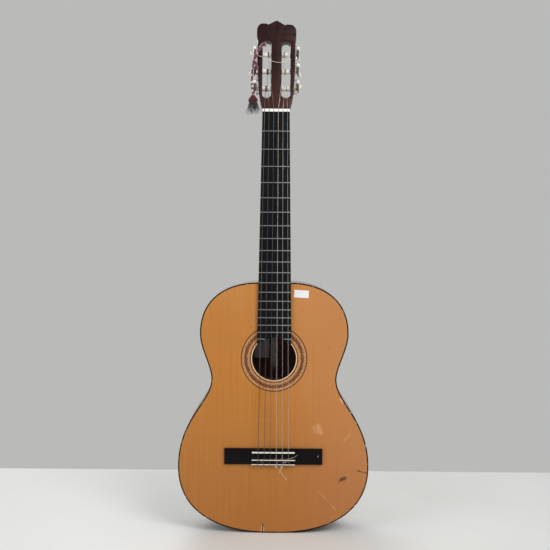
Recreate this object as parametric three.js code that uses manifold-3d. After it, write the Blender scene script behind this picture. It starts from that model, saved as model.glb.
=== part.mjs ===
// Full-size classical guitar with a slotted head, six worm-and-gear tuners and nylon strings.
//
// Millimetres. +Z runs up from the tail to the head, the soundboard faces -Y and the bass side is at -X.
// The origin is on the tail's lowest face, on the centre line, midway through the overall depth.
// Pieces that touch keep a gap, the glue line, so that no two solids share a surface.

import * as THREE from "three";
import { mergeVertices } from "three/addons/utils/BufferGeometryUtils.js";
import Module from "manifold-3d";

const wasm = await Module();
wasm.setup();

// ---------------------------------------------------------------- driving dimensions

const scaleLength = 650;
const glue = 0.3;

const body = {
  length: 485,
  halfLower: 184,
  halfWaist: 120.5,
  halfUpper: 143,
  zLower: 128.5,
  zWaist: 298.5,
  zUpper: 386.5,
  halfTailFlat: 12,
  halfHeelFlat: 30,
  depthTail: 96, // soundboard face to back face, at the edge
  depthHeel: 90,
  crown: 4, // arch of the back across the lower bout
  boardThickness: 2.6,
  backThickness: 2.8,
  sideThickness: 2.2,
  bindingWidth: 2.4,
  bindingDepth: 5,
  liningWidth: 5.5,
  liningDepth: 14,
  blockHalf: 35,
};

const frontReach = 13.9; // the strings over the saddle stand this far in front of the soundboard
const boardY = -(body.depthTail + body.crown - frontReach) / 2;

const soundhole = { radius: 42.5, z: 338.7 };
const rosetteRing = { inner: 44, outer: 64, depth: 1.2 };

const nutZ = body.length + scaleLength / 2;
const nutSize = { length: 52, thickness: 6, height: 8.6 };
const headBaseZ = nutZ + nutSize.thickness;
const saddleZ = nutZ - scaleLength - 1.5;

// The board ends square over the soundboard; its round mouth reaches just inside the soundhole's edge.
const board = { thickness: 6.5, halfNut: 26, halfTwelfth: 31, endZ: 368, mouthRadius: 41.3 };
const fret = { count: 19, width: 2.2, crownWidth: 1, height: 1.1, inset: 0.8 };

const neckDims = {
  depthNut: 15.5,
  depthHeel: 18,
  heelStart: 566,
  heelFoot: 508,
  heelHalf: 12,
  capThickness: 2.5,
};
const tenon = { halfMouth: 9, halfEnd: 12, length: 18, depth: 62 };

const bridgeDims = { halfLength: 94.5, bottom: 134.3, top: 165.2, wingHeight: 4, blockHalf: 42, height: 8.6 };
const saddleDims = { halfLength: 41, thickness: 2.6, top: 12.2, seat: 3.5 };
const tieBlock = { front: 144.3, groove: 4.6 };

const head = {
  tilt: THREE.MathUtils.degToRad(14),
  thickness: 17,
  veneer: 2,
  halfNut: 26,
  halfSide: 36.2,
  halfCrest: 38.2,
  sideStart: 92, // below this the sides curve in to the nut, so the tuner plates stand off them
  sideEnd: 138,
  crestStart: 150,
  crestLean: 0.04, // the crest was cut a little lower on the treble side, by this much of its width
  slotInner: 10,
  slotOuter: 27,
  slotStart: 20,
  slotEnd: 142,
};

const tuner = {
  positions: [45, 80, 115], // up the head from its base: the rollers of strings 1 to 3, and of 6 to 4
  depth: 8, // roller axis behind the head's wooden face
  barrelRadius: 5,
  journalRadius: 3.2,
  pinRadius: 2.6,
  pinLength: 6,
  plateThickness: 1.2,
  plateStart: 30,
  plateEnd: 136,
  plateHalfWidth: 7,
  wormOffset: 10, // worm axis above the roller axis
  wormStandOff: 5.8, // worm axis outside the head's side
  shaftRadius: 1.6,
};
const gear = { teeth: 16, outer: 7.3, root: 6, width: 3 };
const worm = { pitch: 2.7, root: 2.3, outer: 3.6, turns: 2.8 };
const knob = { width: 24, height: 8, length: 14, start: 14.5 };

// String by string, 1 (high E) to 6 (low E): radius, side of the head, which tuner, angle of its button.
const stringSpacing = { nut: 8.7, bridge: 11.6 };
const strings = [
  { number: 1, radius: 0.36, side: 1, machine: 0, knobAngle: -50 },
  { number: 2, radius: 0.41, side: 1, machine: 1, knobAngle: 62 },
  { number: 3, radius: 0.51, side: 1, machine: 2, knobAngle: 80 },
  { number: 4, radius: 0.38, side: -1, machine: 2, knobAngle: -34 },
  { number: 5, radius: 0.45, side: -1, machine: 1, knobAngle: 18 },
  { number: 6, radius: 0.56, side: -1, machine: 0, knobAngle: -66 },
];

// ---------------------------------------------------------------- materials

const material = (color, roughness, metalness = 0) =>
  new THREE.MeshStandardMaterial({ color, roughness, metalness });
const spruce = material(0xb9783f, 0.35);
const rosewood = material(0x3a1d17, 0.35);
const mahogany = material(0x4a2a20, 0.45);
const veneerWood = material(0x331f1f, 0.35);
const ebonised = material(0x17171b, 0.4);
const rawSpruce = material(0xc9a878, 0.8);
const rawCedar = material(0x8c6242, 0.8);
const darkBinding = material(0x1e1210, 0.4);
const mosaic = material(0x8e5f3c, 0.45);
const whitePlastic = material(0xece6d8, 0.35);
const nickel = material(0xb8b8b4, 0.25, 1);
const nylon = material(0xd8cfc0, 0.3);
const woundSilver = material(0x8f8578, 0.4, 1);
const pinkRibbon = material(0x9a5a66, 0.85);

// ---------------------------------------------------------------- solids

function toSolid(geometry) {
  const bare = geometry.index ? geometry.toNonIndexed() : geometry.clone();
  bare.deleteAttribute("normal");
  bare.deleteAttribute("uv");
  const merged = mergeVertices(bare, 1e-4);
  const vertProperties = merged.attributes.position.array;
  const triVerts = new Uint32Array(merged.index.array);
  return new wasm.Manifold(new wasm.Mesh({ numProp: 3, vertProperties, triVerts }));
}

function toGeometry(solid) {
  const { vertProperties, triVerts } = solid.getMesh();
  const geometry = new THREE.BufferGeometry();
  geometry.setAttribute("position", new THREE.BufferAttribute(vertProperties, 3));
  geometry.setIndex(new THREE.BufferAttribute(triVerts, 1));
  const faceted = geometry.toNonIndexed();
  faceted.computeVertexNormals();
  return faceted;
}

const combine = (operation) => (first, ...others) =>
  toGeometry(others.reduce((solid, next) => solid[operation](toSolid(next)), toSolid(first)));
const join = combine("add");
const cut = combine("subtract");
const common = combine("intersect");

function box(x0, x1, y0, y1, z0, z1) {
  const geometry = new THREE.BoxGeometry(x1 - x0, y1 - y0, z1 - z0);
  return geometry.translate((x0 + x1) / 2, (y0 + y1) / 2, (z0 + z1) / 2);
}

// A shape drawn in (x, z), as a plate whose front face is at y = front.
function plate(shape, front, thickness, curveSegments = 12) {
  const geometry = new THREE.ExtrudeGeometry(shape, { depth: thickness, bevelEnabled: false, curveSegments });
  return geometry.rotateX(Math.PI / 2).translate(0, front + thickness, 0);
}

function cylinderAlongX(radius, x0, x1, y, z, sides = 12) {
  const geometry = new THREE.CylinderGeometry(radius, radius, x1 - x0, sides);
  return geometry.rotateZ(Math.PI / 2).translate((x0 + x1) / 2, y, z);
}

function cylinderAlongY(radius, y0, y1, x, z, sides = 20) {
  const geometry = new THREE.CylinderGeometry(radius, radius, y1 - y0, sides);
  return geometry.translate(x, (y0 + y1) / 2, z);
}

// A solid skinned over rings with the same number of points. A loop joins its last ring to its first.
// The ends are closed by a fan from each end ring's middle.
function loft(rings, isLoop = false) {
  const sides = rings[0].length;
  const points = rings.flat();
  const faces = [];
  const index = (ring, side) => (ring % rings.length) * sides + (side % sides);
  for (let r = 0; r < rings.length - (isLoop ? 0 : 1); r++)
    for (let s = 0; s < sides; s++) {
      faces.push([index(r, s), index(r, s + 1), index(r + 1, s + 1)]);
      faces.push([index(r, s), index(r + 1, s + 1), index(r + 1, s)]);
    }
  if (!isLoop)
    for (const [ring, order] of [
      [0, -1],
      [rings.length - 1, 1],
    ]) {
      const middle = rings[ring].reduce((sum, p) => sum.add(p), new THREE.Vector3()).divideScalar(sides);
      points.push(middle);
      for (let s = 0; s < sides; s++) {
        const pair = [index(ring, s), index(ring, s + 1)];
        faces.push([points.length - 1, ...(order > 0 ? pair : pair.reverse())]);
      }
    }
  const positions = faces.flat().flatMap((i) => points[i].toArray());
  const geometry = new THREE.BufferGeometry();
  geometry.setAttribute("position", new THREE.Float32BufferAttribute(positions, 3));
  if (toSolid(geometry).volume() < 0) {
    for (const face of faces) face.reverse();
    geometry.setAttribute(
      "position",
      new THREE.Float32BufferAttribute(faces.flat().flatMap((i) => points[i].toArray()), 3),
    );
  }
  geometry.computeVertexNormals();
  return geometry;
}

// A round bar through points, its rings square to the mean direction at each point.
function tube(points, radius, sides = 8) {
  const rings = points.map((point, i) => {
    const before = points[Math.max(0, i - 1)];
    const after = points[Math.min(points.length - 1, i + 1)];
    const along = after.clone().sub(before).normalize();
    const across = new THREE.Vector3(1, 0, 0).addScaledVector(along, -along.x).normalize();
    const third = along.clone().cross(across);
    return Array.from({ length: sides }, (_, s) => {
      const angle = (s / sides) * 2 * Math.PI;
      return point
        .clone()
        .addScaledVector(across, radius * Math.cos(angle))
        .addScaledVector(third, radius * Math.sin(angle));
    });
  });
  return loft(rings);
}

const guitar = new THREE.Group();
const headGroup = new THREE.Group();
headGroup.position.set(0, boardY, headBaseZ);
headGroup.rotation.x = -head.tilt;
guitar.add(headGroup);

function add(name, geometry, meshMaterial, parent = guitar) {
  const mesh = new THREE.Mesh(geometry, meshMaterial);
  mesh.name = name;
  parent.add(mesh);
  return mesh;
}

const mirrored = (geometry) => {
  const copy = toGeometry(toSolid(geometry).mirror([1, 0, 0]));
  return copy;
};

// ---------------------------------------------------------------- body outline

// The treble half of the outline from the tail to the heel: four cubic curves between the widest and
// narrowest places, whose handles set how full each bend is.
function halfOutlineCurves() {
  const b = body;
  const v = (x, z) => new THREE.Vector2(x, z);
  const tail = v(b.halfTailFlat, 0);
  const lower = v(b.halfLower, b.zLower);
  const waist = v(b.halfWaist, b.zWaist);
  const upper = v(b.halfUpper, b.zUpper);
  const heel = v(b.halfHeelFlat, b.length);
  return [
    { curve: new THREE.LineCurve(v(0, 0), tail), steps: 1 },
    { curve: new THREE.CubicBezierCurve(tail, v(93, 0), v(lower.x, lower.y - 97), lower), steps: 9 },
    {
      curve: new THREE.CubicBezierCurve(lower, v(lower.x, lower.y + 93), v(waist.x, waist.y - 44), waist),
      steps: 8,
    },
    {
      curve: new THREE.CubicBezierCurve(waist, v(waist.x, waist.y + 25), v(upper.x, upper.y - 30), upper),
      steps: 5,
    },
    { curve: new THREE.CubicBezierCurve(upper, v(upper.x, upper.y + 69), v(91, b.length), heel), steps: 8 },
    { curve: new THREE.LineCurve(heel, v(0, b.length)), steps: 1 },
  ];
}

// Points with their outward normals, so that an inset outline has the same points moved along them.
const halfOutline = halfOutlineCurves().flatMap(({ curve, steps }, n, all) => {
  const count = n === all.length - 1 ? steps + 1 : steps;
  return Array.from({ length: count }, (_, i) => {
    const point = curve.getPoint(i / steps);
    const tangent = curve.getTangent(i / steps);
    return { x: point.x, z: point.y, nx: tangent.y, nz: -tangent.x };
  });
});

const insetPoint = (p, inset) => ({ x: p.x - p.nx * inset, z: p.z - p.nz * inset });

const mirrorPoint = (p) => ({ ...p, x: -p.x, nx: -p.nx });
const wholeOutline = [...halfOutline, ...halfOutline.slice(1, -1).reverse().map(mirrorPoint)];

function outlineShape(inset) {
  const points = wholeOutline.map((p) => insetPoint(p, inset));
  return new THREE.Shape(points.map((p) => new THREE.Vector2(p.x, p.z)));
}

// The back is arched across and the body tapers in depth from tail to heel.
function backY(x, z) {
  const depth = THREE.MathUtils.lerp(body.depthTail, body.depthHeel, z / body.length);
  return boardY + depth + body.crown * (1 - (x / body.halfLower) ** 2);
}

// A strip that follows outline points, between two insets and two heights that may vary along it.
function rim(points, outerInset, innerInset, frontAt, backAt, isLoop) {
  const rings = points.map((p) => {
    const outer = insetPoint(p, outerInset);
    const inner = insetPoint(p, innerInset);
    return [
      new THREE.Vector3(outer.x, frontAt(outer.x, outer.z), outer.z),
      new THREE.Vector3(inner.x, frontAt(inner.x, inner.z), inner.z),
      new THREE.Vector3(inner.x, backAt(inner.x, inner.z), inner.z),
      new THREE.Vector3(outer.x, backAt(outer.x, outer.z), outer.z),
    ];
  });
  return loft(rings, isLoop);
}

const innerInset = body.sideThickness + glue;
const boardInnerY = boardY + body.boardThickness;
const backInnerY = (x, z) => backY(x, z) - body.backThickness;

// ---------------------------------------------------------------- body shell

function buildSoundboard() {
  const shape = outlineShape(body.bindingWidth + glue);
  shape.holes.push(new THREE.Path().absarc(0, soundhole.z, soundhole.radius, 0, 2 * Math.PI, true));
  const ring = ringShape(rosetteRing.inner - glue, rosetteRing.outer + glue);
  const channel = plate(ring, boardY - 1, rosetteRing.depth + glue + 1, 20);
  add("soundboard", cut(plate(shape, boardY, body.boardThickness, 20), channel), spruce);
  const rosette = plate(ringShape(rosetteRing.inner, rosetteRing.outer), boardY, rosetteRing.depth, 20);
  add("rosette", rosette, mosaic);
}

function ringShape(inner, outer) {
  const shape = new THREE.Shape().absarc(0, soundhole.z, outer, 0, 2 * Math.PI, false);
  shape.holes.push(new THREE.Path().absarc(0, soundhole.z, inner, 0, 2 * Math.PI, true));
  return shape;
}

const stripHalf = 4;
const stripDepth = 1.2;

// A bar that lies along the back's centre line, following its slope.
function centreBar(half, depth, proud, z0, z1) {
  const ring = (z) => {
    const y = backY(0, z);
    const corner = (x, dy) => new THREE.Vector3(x, y + dy, z);
    return [corner(-half, proud), corner(half, proud), corner(half, -depth), corner(-half, -depth)];
  };
  return loft([ring(z0), ring(z1)]);
}

function buildBack() {
  const inset = body.bindingWidth + glue;
  const columns = [-1, -0.68, -0.34, 0, 0.34, 0.68, 1];
  const rows = halfOutline.slice(1, -1).map((p) => insetPoint(p, inset));
  const rings = rows.map(({ x, z }) => {
    const outside = columns.map((u) => new THREE.Vector3(u * x, backY(u * x, z), z));
    const inside = columns.map((u) => new THREE.Vector3(u * x, backInnerY(u * x, z), z));
    return [...outside, ...inside.reverse()];
  });
  const groove = centreBar(stripHalf + glue, stripDepth + glue, 1, inset - 1, body.length - inset + 1);
  add("back", cut(loft(rings), groove), rosewood);
  const strip = centreBar(stripHalf, stripDepth, 0, inset + glue, body.length - inset - glue);
  add("back_centre_strip", strip, whitePlastic);
}

const graftHalf = 6;

function buildSides() {
  const from = graftHalf + glue;
  const to = tenon.halfMouth + 3 * glue;
  const ends = halfOutline.slice(1, -1);
  const path = [{ ...halfOutline[0], x: from }, ...ends, { ...halfOutline.at(-1), x: to }];
  const front = () => boardY + body.bindingDepth + glue;
  const rear = (x, z) => backY(x, z) - body.bindingDepth - glue;
  const side = rim(path, 0, body.sideThickness, front, rear, false);
  add("side_treble", side, rosewood);
  add("side_bass", mirrored(side), rosewood);

  const graftRear = rear(graftHalf, 0);
  add("tail_graft", box(-graftHalf, graftHalf, front(), graftRear, 0, body.sideThickness), darkBinding);
}

function buildBindings() {
  const board = () => boardY;
  const boardBack = () => boardY + body.bindingDepth;
  const backFront = (x, z) => backY(x, z) - body.bindingDepth;
  add("top_binding", rim(wholeOutline, 0, body.bindingWidth, board, boardBack, true), darkBinding);
  add("back_binding", rim(wholeOutline, 0, body.bindingWidth, backFront, backY, true), darkBinding);
}

// ---------------------------------------------------------------- inside the body

function buildLinings() {
  const path = halfOutline.filter((p) => p.x > body.blockHalf + 6);
  const outer = body.bindingWidth + glue;
  const inner = outer + body.liningWidth;
  const boardFace = () => boardInnerY + glue;
  const boardFoot = () => boardInnerY + body.liningDepth;
  const backFace = (x, z) => backInnerY(x, z) - glue;
  const backFoot = (x, z) => backInnerY(x, z) - body.liningDepth;
  const top = rim(path, outer, inner, boardFace, boardFoot, false);
  const back = rim(path, outer, inner, backFoot, backFace, false);
  add("top_lining_treble", top, rawCedar);
  add("top_lining_bass", mirrored(top), rawCedar);
  add("back_lining_treble", back, rawCedar);
  add("back_lining_bass", mirrored(back), rawCedar);
}

// The part of a block that fits inside the body's walls at an inset from the outline.
const within = (inset, block) => common(block, plate(outlineShape(inset), boardY, 200));

function tenonShape(grow) {
  const top = body.length + 1;
  const bottom = body.length - tenon.length - grow;
  const shape = new THREE.Shape();
  shape.moveTo(-tenon.halfMouth - grow, top);
  shape.lineTo(-tenon.halfEnd - grow, bottom);
  shape.lineTo(tenon.halfEnd + grow, bottom);
  shape.lineTo(tenon.halfMouth + grow, top);
  shape.closePath();
  return shape;
}

const tenonFront = boardY + body.bindingDepth + glue;

function buildBlocks() {
  const half = body.blockHalf;
  const front = boardInnerY + glue;
  const neckEnd = backInnerY(half, body.length) - 2 * glue;
  const tailEnd = backInnerY(half, 0) - 2 * glue;
  const neckBlock = within(innerInset, box(-half, half, front, neckEnd, body.length - 32, body.length));
  const mortise = plate(tenonShape(glue), tenonFront - 3, tenon.depth + 3 + glue);
  add("neck_block", cut(neckBlock, mortise), mahogany);
  const tailBlock = within(innerInset + glue, box(-half, half, front, tailEnd - 1, 0, 18));
  add("tail_block", tailBlock, mahogany);
}

const bridgePlate = { bottom: 130, top: 174, thickness: 2 };

function buildBraces() {
  const liningInset = body.bindingWidth + 2 * glue + body.liningWidth + 0.6;
  const front = boardInnerY + glue;
  const across = (z, width, height) => {
    const bar = box(-200, 200, front, front + height, z - width / 2, z + width / 2);
    return within(liningInset, bar);
  };
  add("upper_harmonic_bar", across(412, 9, 17), rawSpruce);
  add("lower_harmonic_bar", across(282, 9, 17), rawSpruce);

  const padHalf = 92;
  const pad = (grow) =>
    box(-padHalf - grow, padHalf + grow, front - grow, front + bridgePlate.thickness + grow,
      bridgePlate.bottom - grow, bridgePlate.top + grow);
  add("bridge_plate", pad(0), rawSpruce);

  const fans = { bass: -1, centre: 0, treble: 1 };
  for (const [name, side] of Object.entries(fans)) {
    const length = 205;
    const fan = box(-3.5, 3.5, front, front + 7, -length / 2, length / 2);
    fan.rotateY(THREE.MathUtils.degToRad(-11 * side)).translate(side * 62, 0, 168);
    add(`fan_brace_${name}`, cut(fan, pad(glue)), rawSpruce);
  }

  const backBraces = { upper: 410, middle: 285, lower: 140 };
  for (const [name, z] of Object.entries(backBraces)) {
    add(`back_brace_${name}`, backBrace(z, liningInset), rawCedar);
  }
}

// A brace across the back: its glued edge follows the arch and its free edge is straight.
function backBrace(z, inset) {
  const half = 185;
  const width = 7;
  const height = 15;
  const steps = 10;
  const shape = new THREE.Shape();
  const edge = backInnerY(half, z) - height;
  shape.moveTo(-half, edge);
  for (let i = 0; i <= steps; i++) {
    const x = -half + (2 * half * i) / steps;
    shape.lineTo(x, backInnerY(x, z + width) - 2 * glue);
  }
  shape.lineTo(half, edge);
  const brace = new THREE.ExtrudeGeometry(shape, { depth: width, bevelEnabled: false });
  return within(inset, brace.translate(0, 0, z - width / 2));
}

// ---------------------------------------------------------------- neck

const boardTaper = (board.halfTwelfth - board.halfNut) / (scaleLength / 2);
const boardHalfAt = (z) => board.halfNut + (nutZ - z) * boardTaper;

// Rear profile of neck and heel: how deep the wood is behind the soundboard plane at a height.
function neckDepthAt(z) {
  const n = neckDims;
  const share = Math.max(0, (z - n.heelStart) / (nutZ - n.heelStart));
  const shaft = THREE.MathUtils.lerp(n.depthHeel, n.depthNut, share);
  if (z >= n.heelStart) return shaft;
  const full = backY(0, body.length) - boardY - n.capThickness - glue;
  const rise = Math.min(1, (n.heelStart - z) / (n.heelStart - n.heelFoot));
  return shaft + (full - n.depthHeel) * rise ** 3.2;
}

// Half a section: a round D on the shaft, which stretches into a narrow keel on the heel.
function neckRing(z) {
  const half = boardHalfAt(z) - 0.4;
  const depth = neckDepthAt(z);
  const keel = THREE.MathUtils.clamp((depth - 22) / 50, 0, 1);
  const steps = 10;
  const rightSide = Array.from({ length: steps + 1 }, (_, i) => {
    const angle = (i / steps) * (Math.PI / 2);
    const s = Math.sin(angle);
    const round = half * Math.cos(angle) ** 0.8;
    const tapered = neckDims.heelHalf + (half - neckDims.heelHalf) * (1 - s) ** 1.3;
    const x = THREE.MathUtils.lerp(round, tapered, keel);
    return { x, y: depth * s };
  });
  const leftSide = rightSide.map((p) => ({ x: -p.x, y: p.y })).reverse();
  if (keel > 0) return [...rightSide, ...leftSide];
  // A round section's single rear point becomes two, so that every ring has the same number of points.
  const rearEdge = 0.6;
  const rear = [{ x: rearEdge, y: depth }, { x: -rearEdge, y: depth }];
  return [...rightSide.slice(0, -1), ...rear, ...leftSide.slice(1)];
}

function buildNeck() {
  const n = neckDims;
  const heelLevels = [body.length + glue, 497, n.heelFoot, 513, 518, 524, 531, 540, 552];
  const levels = [...heelLevels, n.heelStart, 620, 680, 745, nutZ - 10];
  const rings = levels.map((z) => neckRing(z).map((p) => new THREE.Vector3(p.x, boardY + p.y, z)));
  const slope = Math.tan(head.tilt);
  const headEnd = (y) => headBaseZ - glue - y * slope;
  const last = neckRing(nutZ - 1).map((p) => new THREE.Vector3(p.x, boardY + p.y, headEnd(p.y)));
  const stock = loft([...rings, last]);
  const dovetail = plate(tenonShape(0), tenonFront + glue, tenon.depth - glue);
  add("neck", join(stock, dovetail), mahogany);

  const capEnd = backY(0, body.length);
  const capShape = new THREE.Shape();
  capShape.moveTo(-n.heelHalf, body.length + glue);
  capShape.lineTo(n.heelHalf, body.length + glue);
  capShape.lineTo(n.heelHalf, n.heelFoot - n.heelHalf);
  capShape.absarc(0, n.heelFoot - n.heelHalf, n.heelHalf, 0, Math.PI, false);
  capShape.closePath();
  add("heel_cap", plate(capShape, capEnd - n.capThickness, n.capThickness, 10), ebonised);
}

function fretZ(number) {
  return nutZ - scaleLength * (1 - 2 ** (-number / 12));
}

function fingerboardShape() {
  const endHalf = boardHalfAt(board.endZ);
  const angle = Math.asin((board.endZ - soundhole.z) / board.mouthRadius);
  const shape = new THREE.Shape();
  shape.moveTo(-board.halfNut, nutZ);
  shape.lineTo(-endHalf, board.endZ);
  shape.absarc(0, soundhole.z, board.mouthRadius, Math.PI - angle, angle, true);
  shape.lineTo(endHalf, board.endZ);
  shape.lineTo(board.halfNut, nutZ);
  shape.closePath();
  return shape;
}

function buildFingerboard() {
  const front = boardY - glue - board.thickness;
  const slab = plate(fingerboardShape(), front, board.thickness, 10);
  const frets = Array.from({ length: fret.count }, (_, i) => {
    const z = fretZ(i + 1);
    const half = boardHalfAt(z) - fret.inset;
    const section = (x) =>
      [
        [-fret.width / 2, 0.4],
        [fret.width / 2, 0.4],
        [fret.width / 2, -0.3],
        [fret.crownWidth / 2, -fret.height],
        [-fret.crownWidth / 2, -fret.height],
        [-fret.width / 2, -0.3],
      ].map(([dz, dy]) => new THREE.Vector3(x, front + dy, z + dz));
    return loft([section(-half), section(half)]);
  });
  const mouth = cylinderAlongY(board.mouthRadius, front - 5, boardY + 5, 0, soundhole.z, 72);
  add("fingerboard", cut(join(slab, ...frets), mouth), ebonised);

  const half = nutSize.length / 2;
  const nut = box(-half, half, boardY - glue - nutSize.height, boardY - glue, nutZ + glue, headBaseZ);
  add("nut", nut, whitePlastic);
}

// ---------------------------------------------------------------- bridge

function buildBridge() {
  const b = bridgeDims;
  const rear = boardY - glue;
  const wings = box(-b.halfLength, b.halfLength, rear - b.wingHeight, rear, b.bottom, b.top);
  const centre = box(-b.blockHalf, b.blockHalf, rear - b.height, rear, b.bottom, b.top);
  const overBlock = b.blockHalf + 1;
  const gully = box(-overBlock, overBlock, rear - 20, rear - tieBlock.groove, tieBlock.front, saddleZ - 4);
  const saddleSlot = box(
    -saddleDims.halfLength - glue, saddleDims.halfLength + glue, rear - 20, rear - saddleDims.seat,
    saddleZ - saddleDims.thickness / 2 - glue, saddleZ + saddleDims.thickness / 2 + glue,
  );
  const topEdge = rear - b.height;
  const bedFloor = topEdge + 1 + glue;
  const inlayBed = box(-overBlock, overBlock, topEdge - 1, bedFloor, b.bottom - 1, tieBlock.front + 1);
  add("bridge", cut(join(wings, centre), gully, saddleSlot, inlayBed), ebonised);

  const inlay = new THREE.Shape();
  const halfInlay = b.blockHalf - glue;
  outlineRectangle(inlay, halfInlay, b.bottom, tieBlock.front);
  const window = new THREE.Path();
  outlineRectangle(window, halfInlay - 1, b.bottom + 1.5, tieBlock.front - 1.5, true);
  inlay.holes.push(window);
  add("tie_block_inlay", plate(inlay, topEdge, 1), whitePlastic);

  const s = saddleDims;
  const saddle = box(-s.halfLength, s.halfLength, boardY - s.top, rear - s.seat - glue,
    saddleZ - s.thickness / 2, saddleZ + s.thickness / 2);
  add("saddle", saddle, whitePlastic);
}

function outlineRectangle(path, half, z0, z1, isClockwise = false) {
  const corners = [
    [-half, z0],
    [half, z0],
    [half, z1],
    [-half, z1],
  ];
  if (isClockwise) corners.reverse();
  path.moveTo(...corners[0]);
  for (const corner of corners.slice(1)) path.lineTo(...corner);
  path.closePath();
}

// ---------------------------------------------------------------- head
// Head pieces are drawn in the head's own frame: x across, y back from the wooden face, z up from the base.

function headShape() {
  const h = head;
  const crest = (x, z) => [x, z - h.crestLean * x];
  const shape = new THREE.Shape();
  shape.moveTo(-h.halfNut, glue);
  shape.lineTo(h.halfNut, glue);
  shape.bezierCurveTo(33, 24, 34.6, 38, h.halfSide, h.sideStart);
  shape.lineTo(h.halfSide, h.sideEnd);
  shape.bezierCurveTo(
    h.halfSide, h.sideEnd + 7, ...crest(h.halfCrest, h.crestStart - 7), ...crest(h.halfCrest, h.crestStart),
  );
  shape.lineTo(...crest(h.halfCrest, 163));
  shape.bezierCurveTo(...crest(h.halfCrest - 0.6, 169), ...crest(34.5, 172.5), ...crest(30, 175.5));
  shape.lineTo(...crest(19.5, 175.8));
  shape.lineTo(...crest(17, 174)); // notch beside the centre peak
  shape.bezierCurveTo(...crest(11.5, 175.5), ...crest(7, 180.5), 0, 183);
  shape.bezierCurveTo(...crest(-7, 180.5), ...crest(-11.5, 175.5), ...crest(-17, 174));
  shape.lineTo(...crest(-19.5, 175.8));
  shape.lineTo(...crest(-30, 175.5));
  shape.bezierCurveTo(...crest(-34.5, 172.5), ...crest(-h.halfCrest + 0.6, 169), ...crest(-h.halfCrest, 163));
  shape.lineTo(...crest(-h.halfCrest, h.crestStart));
  shape.bezierCurveTo(
    ...crest(-h.halfCrest, h.crestStart - 7), -h.halfSide, h.sideEnd + 7, -h.halfSide, h.sideEnd,
  );
  shape.lineTo(-h.halfSide, h.sideStart);
  shape.bezierCurveTo(-34.6, 38, -33, 24, -h.halfNut, glue);
  for (const side of [-1, 1]) shape.holes.push(slotPath(side));
  return shape;
}

function slotPath(side) {
  const radius = (head.slotOuter - head.slotInner) / 2;
  const middle = (side * (head.slotOuter + head.slotInner)) / 2;
  const topCentre = head.slotEnd - radius - head.crestLean * middle;
  const path = new THREE.Path();
  path.moveTo(middle - radius, head.slotStart + radius);
  path.lineTo(middle - radius, topCentre);
  path.absarc(middle, topCentre, radius, Math.PI, 0, true);
  path.lineTo(middle + radius, head.slotStart + radius);
  path.absarc(middle, head.slotStart + radius, radius, 0, -Math.PI, true);
  path.closePath();
  return path;
}

function buildHead() {
  const shape = headShape();
  const bores = strings.flatMap(({ side, machine }) => {
    const z = tuner.positions[machine];
    const across = (radius, from, to) => {
      const [x0, x1] = side > 0 ? [from, to] : [-to, -from];
      return cylinderAlongX(radius, x0, x1, tuner.depth, z);
    };
    return [
      across(tuner.barrelRadius + glue, head.slotOuter - 1, head.halfSide + 5),
      across(tuner.pinRadius + glue, head.slotInner - tuner.pinLength - glue, head.slotInner + 1),
    ];
  });
  add("headstock", cut(plate(shape, 0, head.thickness, 7), ...bores), mahogany, headGroup);
  add("head_veneer", plate(shape, -glue - head.veneer, head.veneer, 7), veneerWood, headGroup);
}

// ---------------------------------------------------------------- tuners

const plateInner = head.halfSide + glue;
const plateOuter = plateInner + tuner.plateThickness;
const wormX = head.halfSide + tuner.wormStandOff;

// A side plate with a pair of bearing ears for each worm, drawn for the treble side.
function tunerPlate() {
  const t = tuner;
  const earReach = wormX + 3.2;
  const front = t.depth - t.plateHalfWidth;
  const rear = t.depth + t.plateHalfWidth;
  const sheet = box(plateInner, plateOuter, front, rear, t.plateStart, t.plateEnd);
  const ears = t.positions.flatMap((z) =>
    [-1, 1].map((end) => {
      const inner = t.depth + end * 4.7;
      const outer = t.depth + end * 6.7;
      const z0 = z + t.wormOffset - 3.4;
      return box(plateOuter - 0.5, earReach, Math.min(inner, outer), Math.max(inner, outer), z0, z0 + 6.8);
    }),
  );
  const holes = t.positions.flatMap((z) => [
    cylinderAlongX(t.journalRadius + glue, plateInner - 1, plateOuter + 1, t.depth, z),
    cylinderAlongY(t.shaftRadius + glue, t.depth - 8, t.depth + 8, wormX, z + t.wormOffset, 10),
  ]);
  return cut(join(sheet, ...ears), ...holes);
}

// The teeth lean by the worm's lead, so that they follow its thread across the gear's width.
function gearWheel() {
  const pitchRadius = (gear.teeth * worm.pitch) / (2 * Math.PI);
  const lead = Math.atan(worm.pitch / (Math.PI * (worm.root + worm.outer)));
  const lean = (gear.width * Math.tan(lead)) / pitchRadius;
  const step = (2 * Math.PI) / gear.teeth;
  const shape = new THREE.Shape();
  for (let tooth = 0; tooth < gear.teeth; tooth++)
    for (const [share, radius] of [
      [-0.25, gear.root],
      [-0.11, gear.outer],
      [0.11, gear.outer],
      [0.25, gear.root],
    ]) {
      const angle = (tooth + share) * step;
      const point = [radius * Math.cos(angle), radius * Math.sin(angle)];
      if (tooth === 0 && share === -0.25) shape.moveTo(...point);
      else shape.lineTo(...point);
    }
  shape.closePath();
  const wheel = new THREE.ExtrudeGeometry(shape, { depth: gear.width, bevelEnabled: false });
  wheel.translate(0, 0, -gear.width / 2);
  const position = wheel.attributes.position;
  for (let i = 0; i < position.count; i++) {
    const turn = (position.getZ(i) / gear.width) * lean;
    const point = new THREE.Vector2(position.getX(i), position.getY(i));
    point.rotateAround(new THREE.Vector2(), turn);
    position.setXY(i, point.x, point.y);
  }
  return wheel.rotateY(Math.PI / 2); // the wheel's axis lies along x
}

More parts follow.
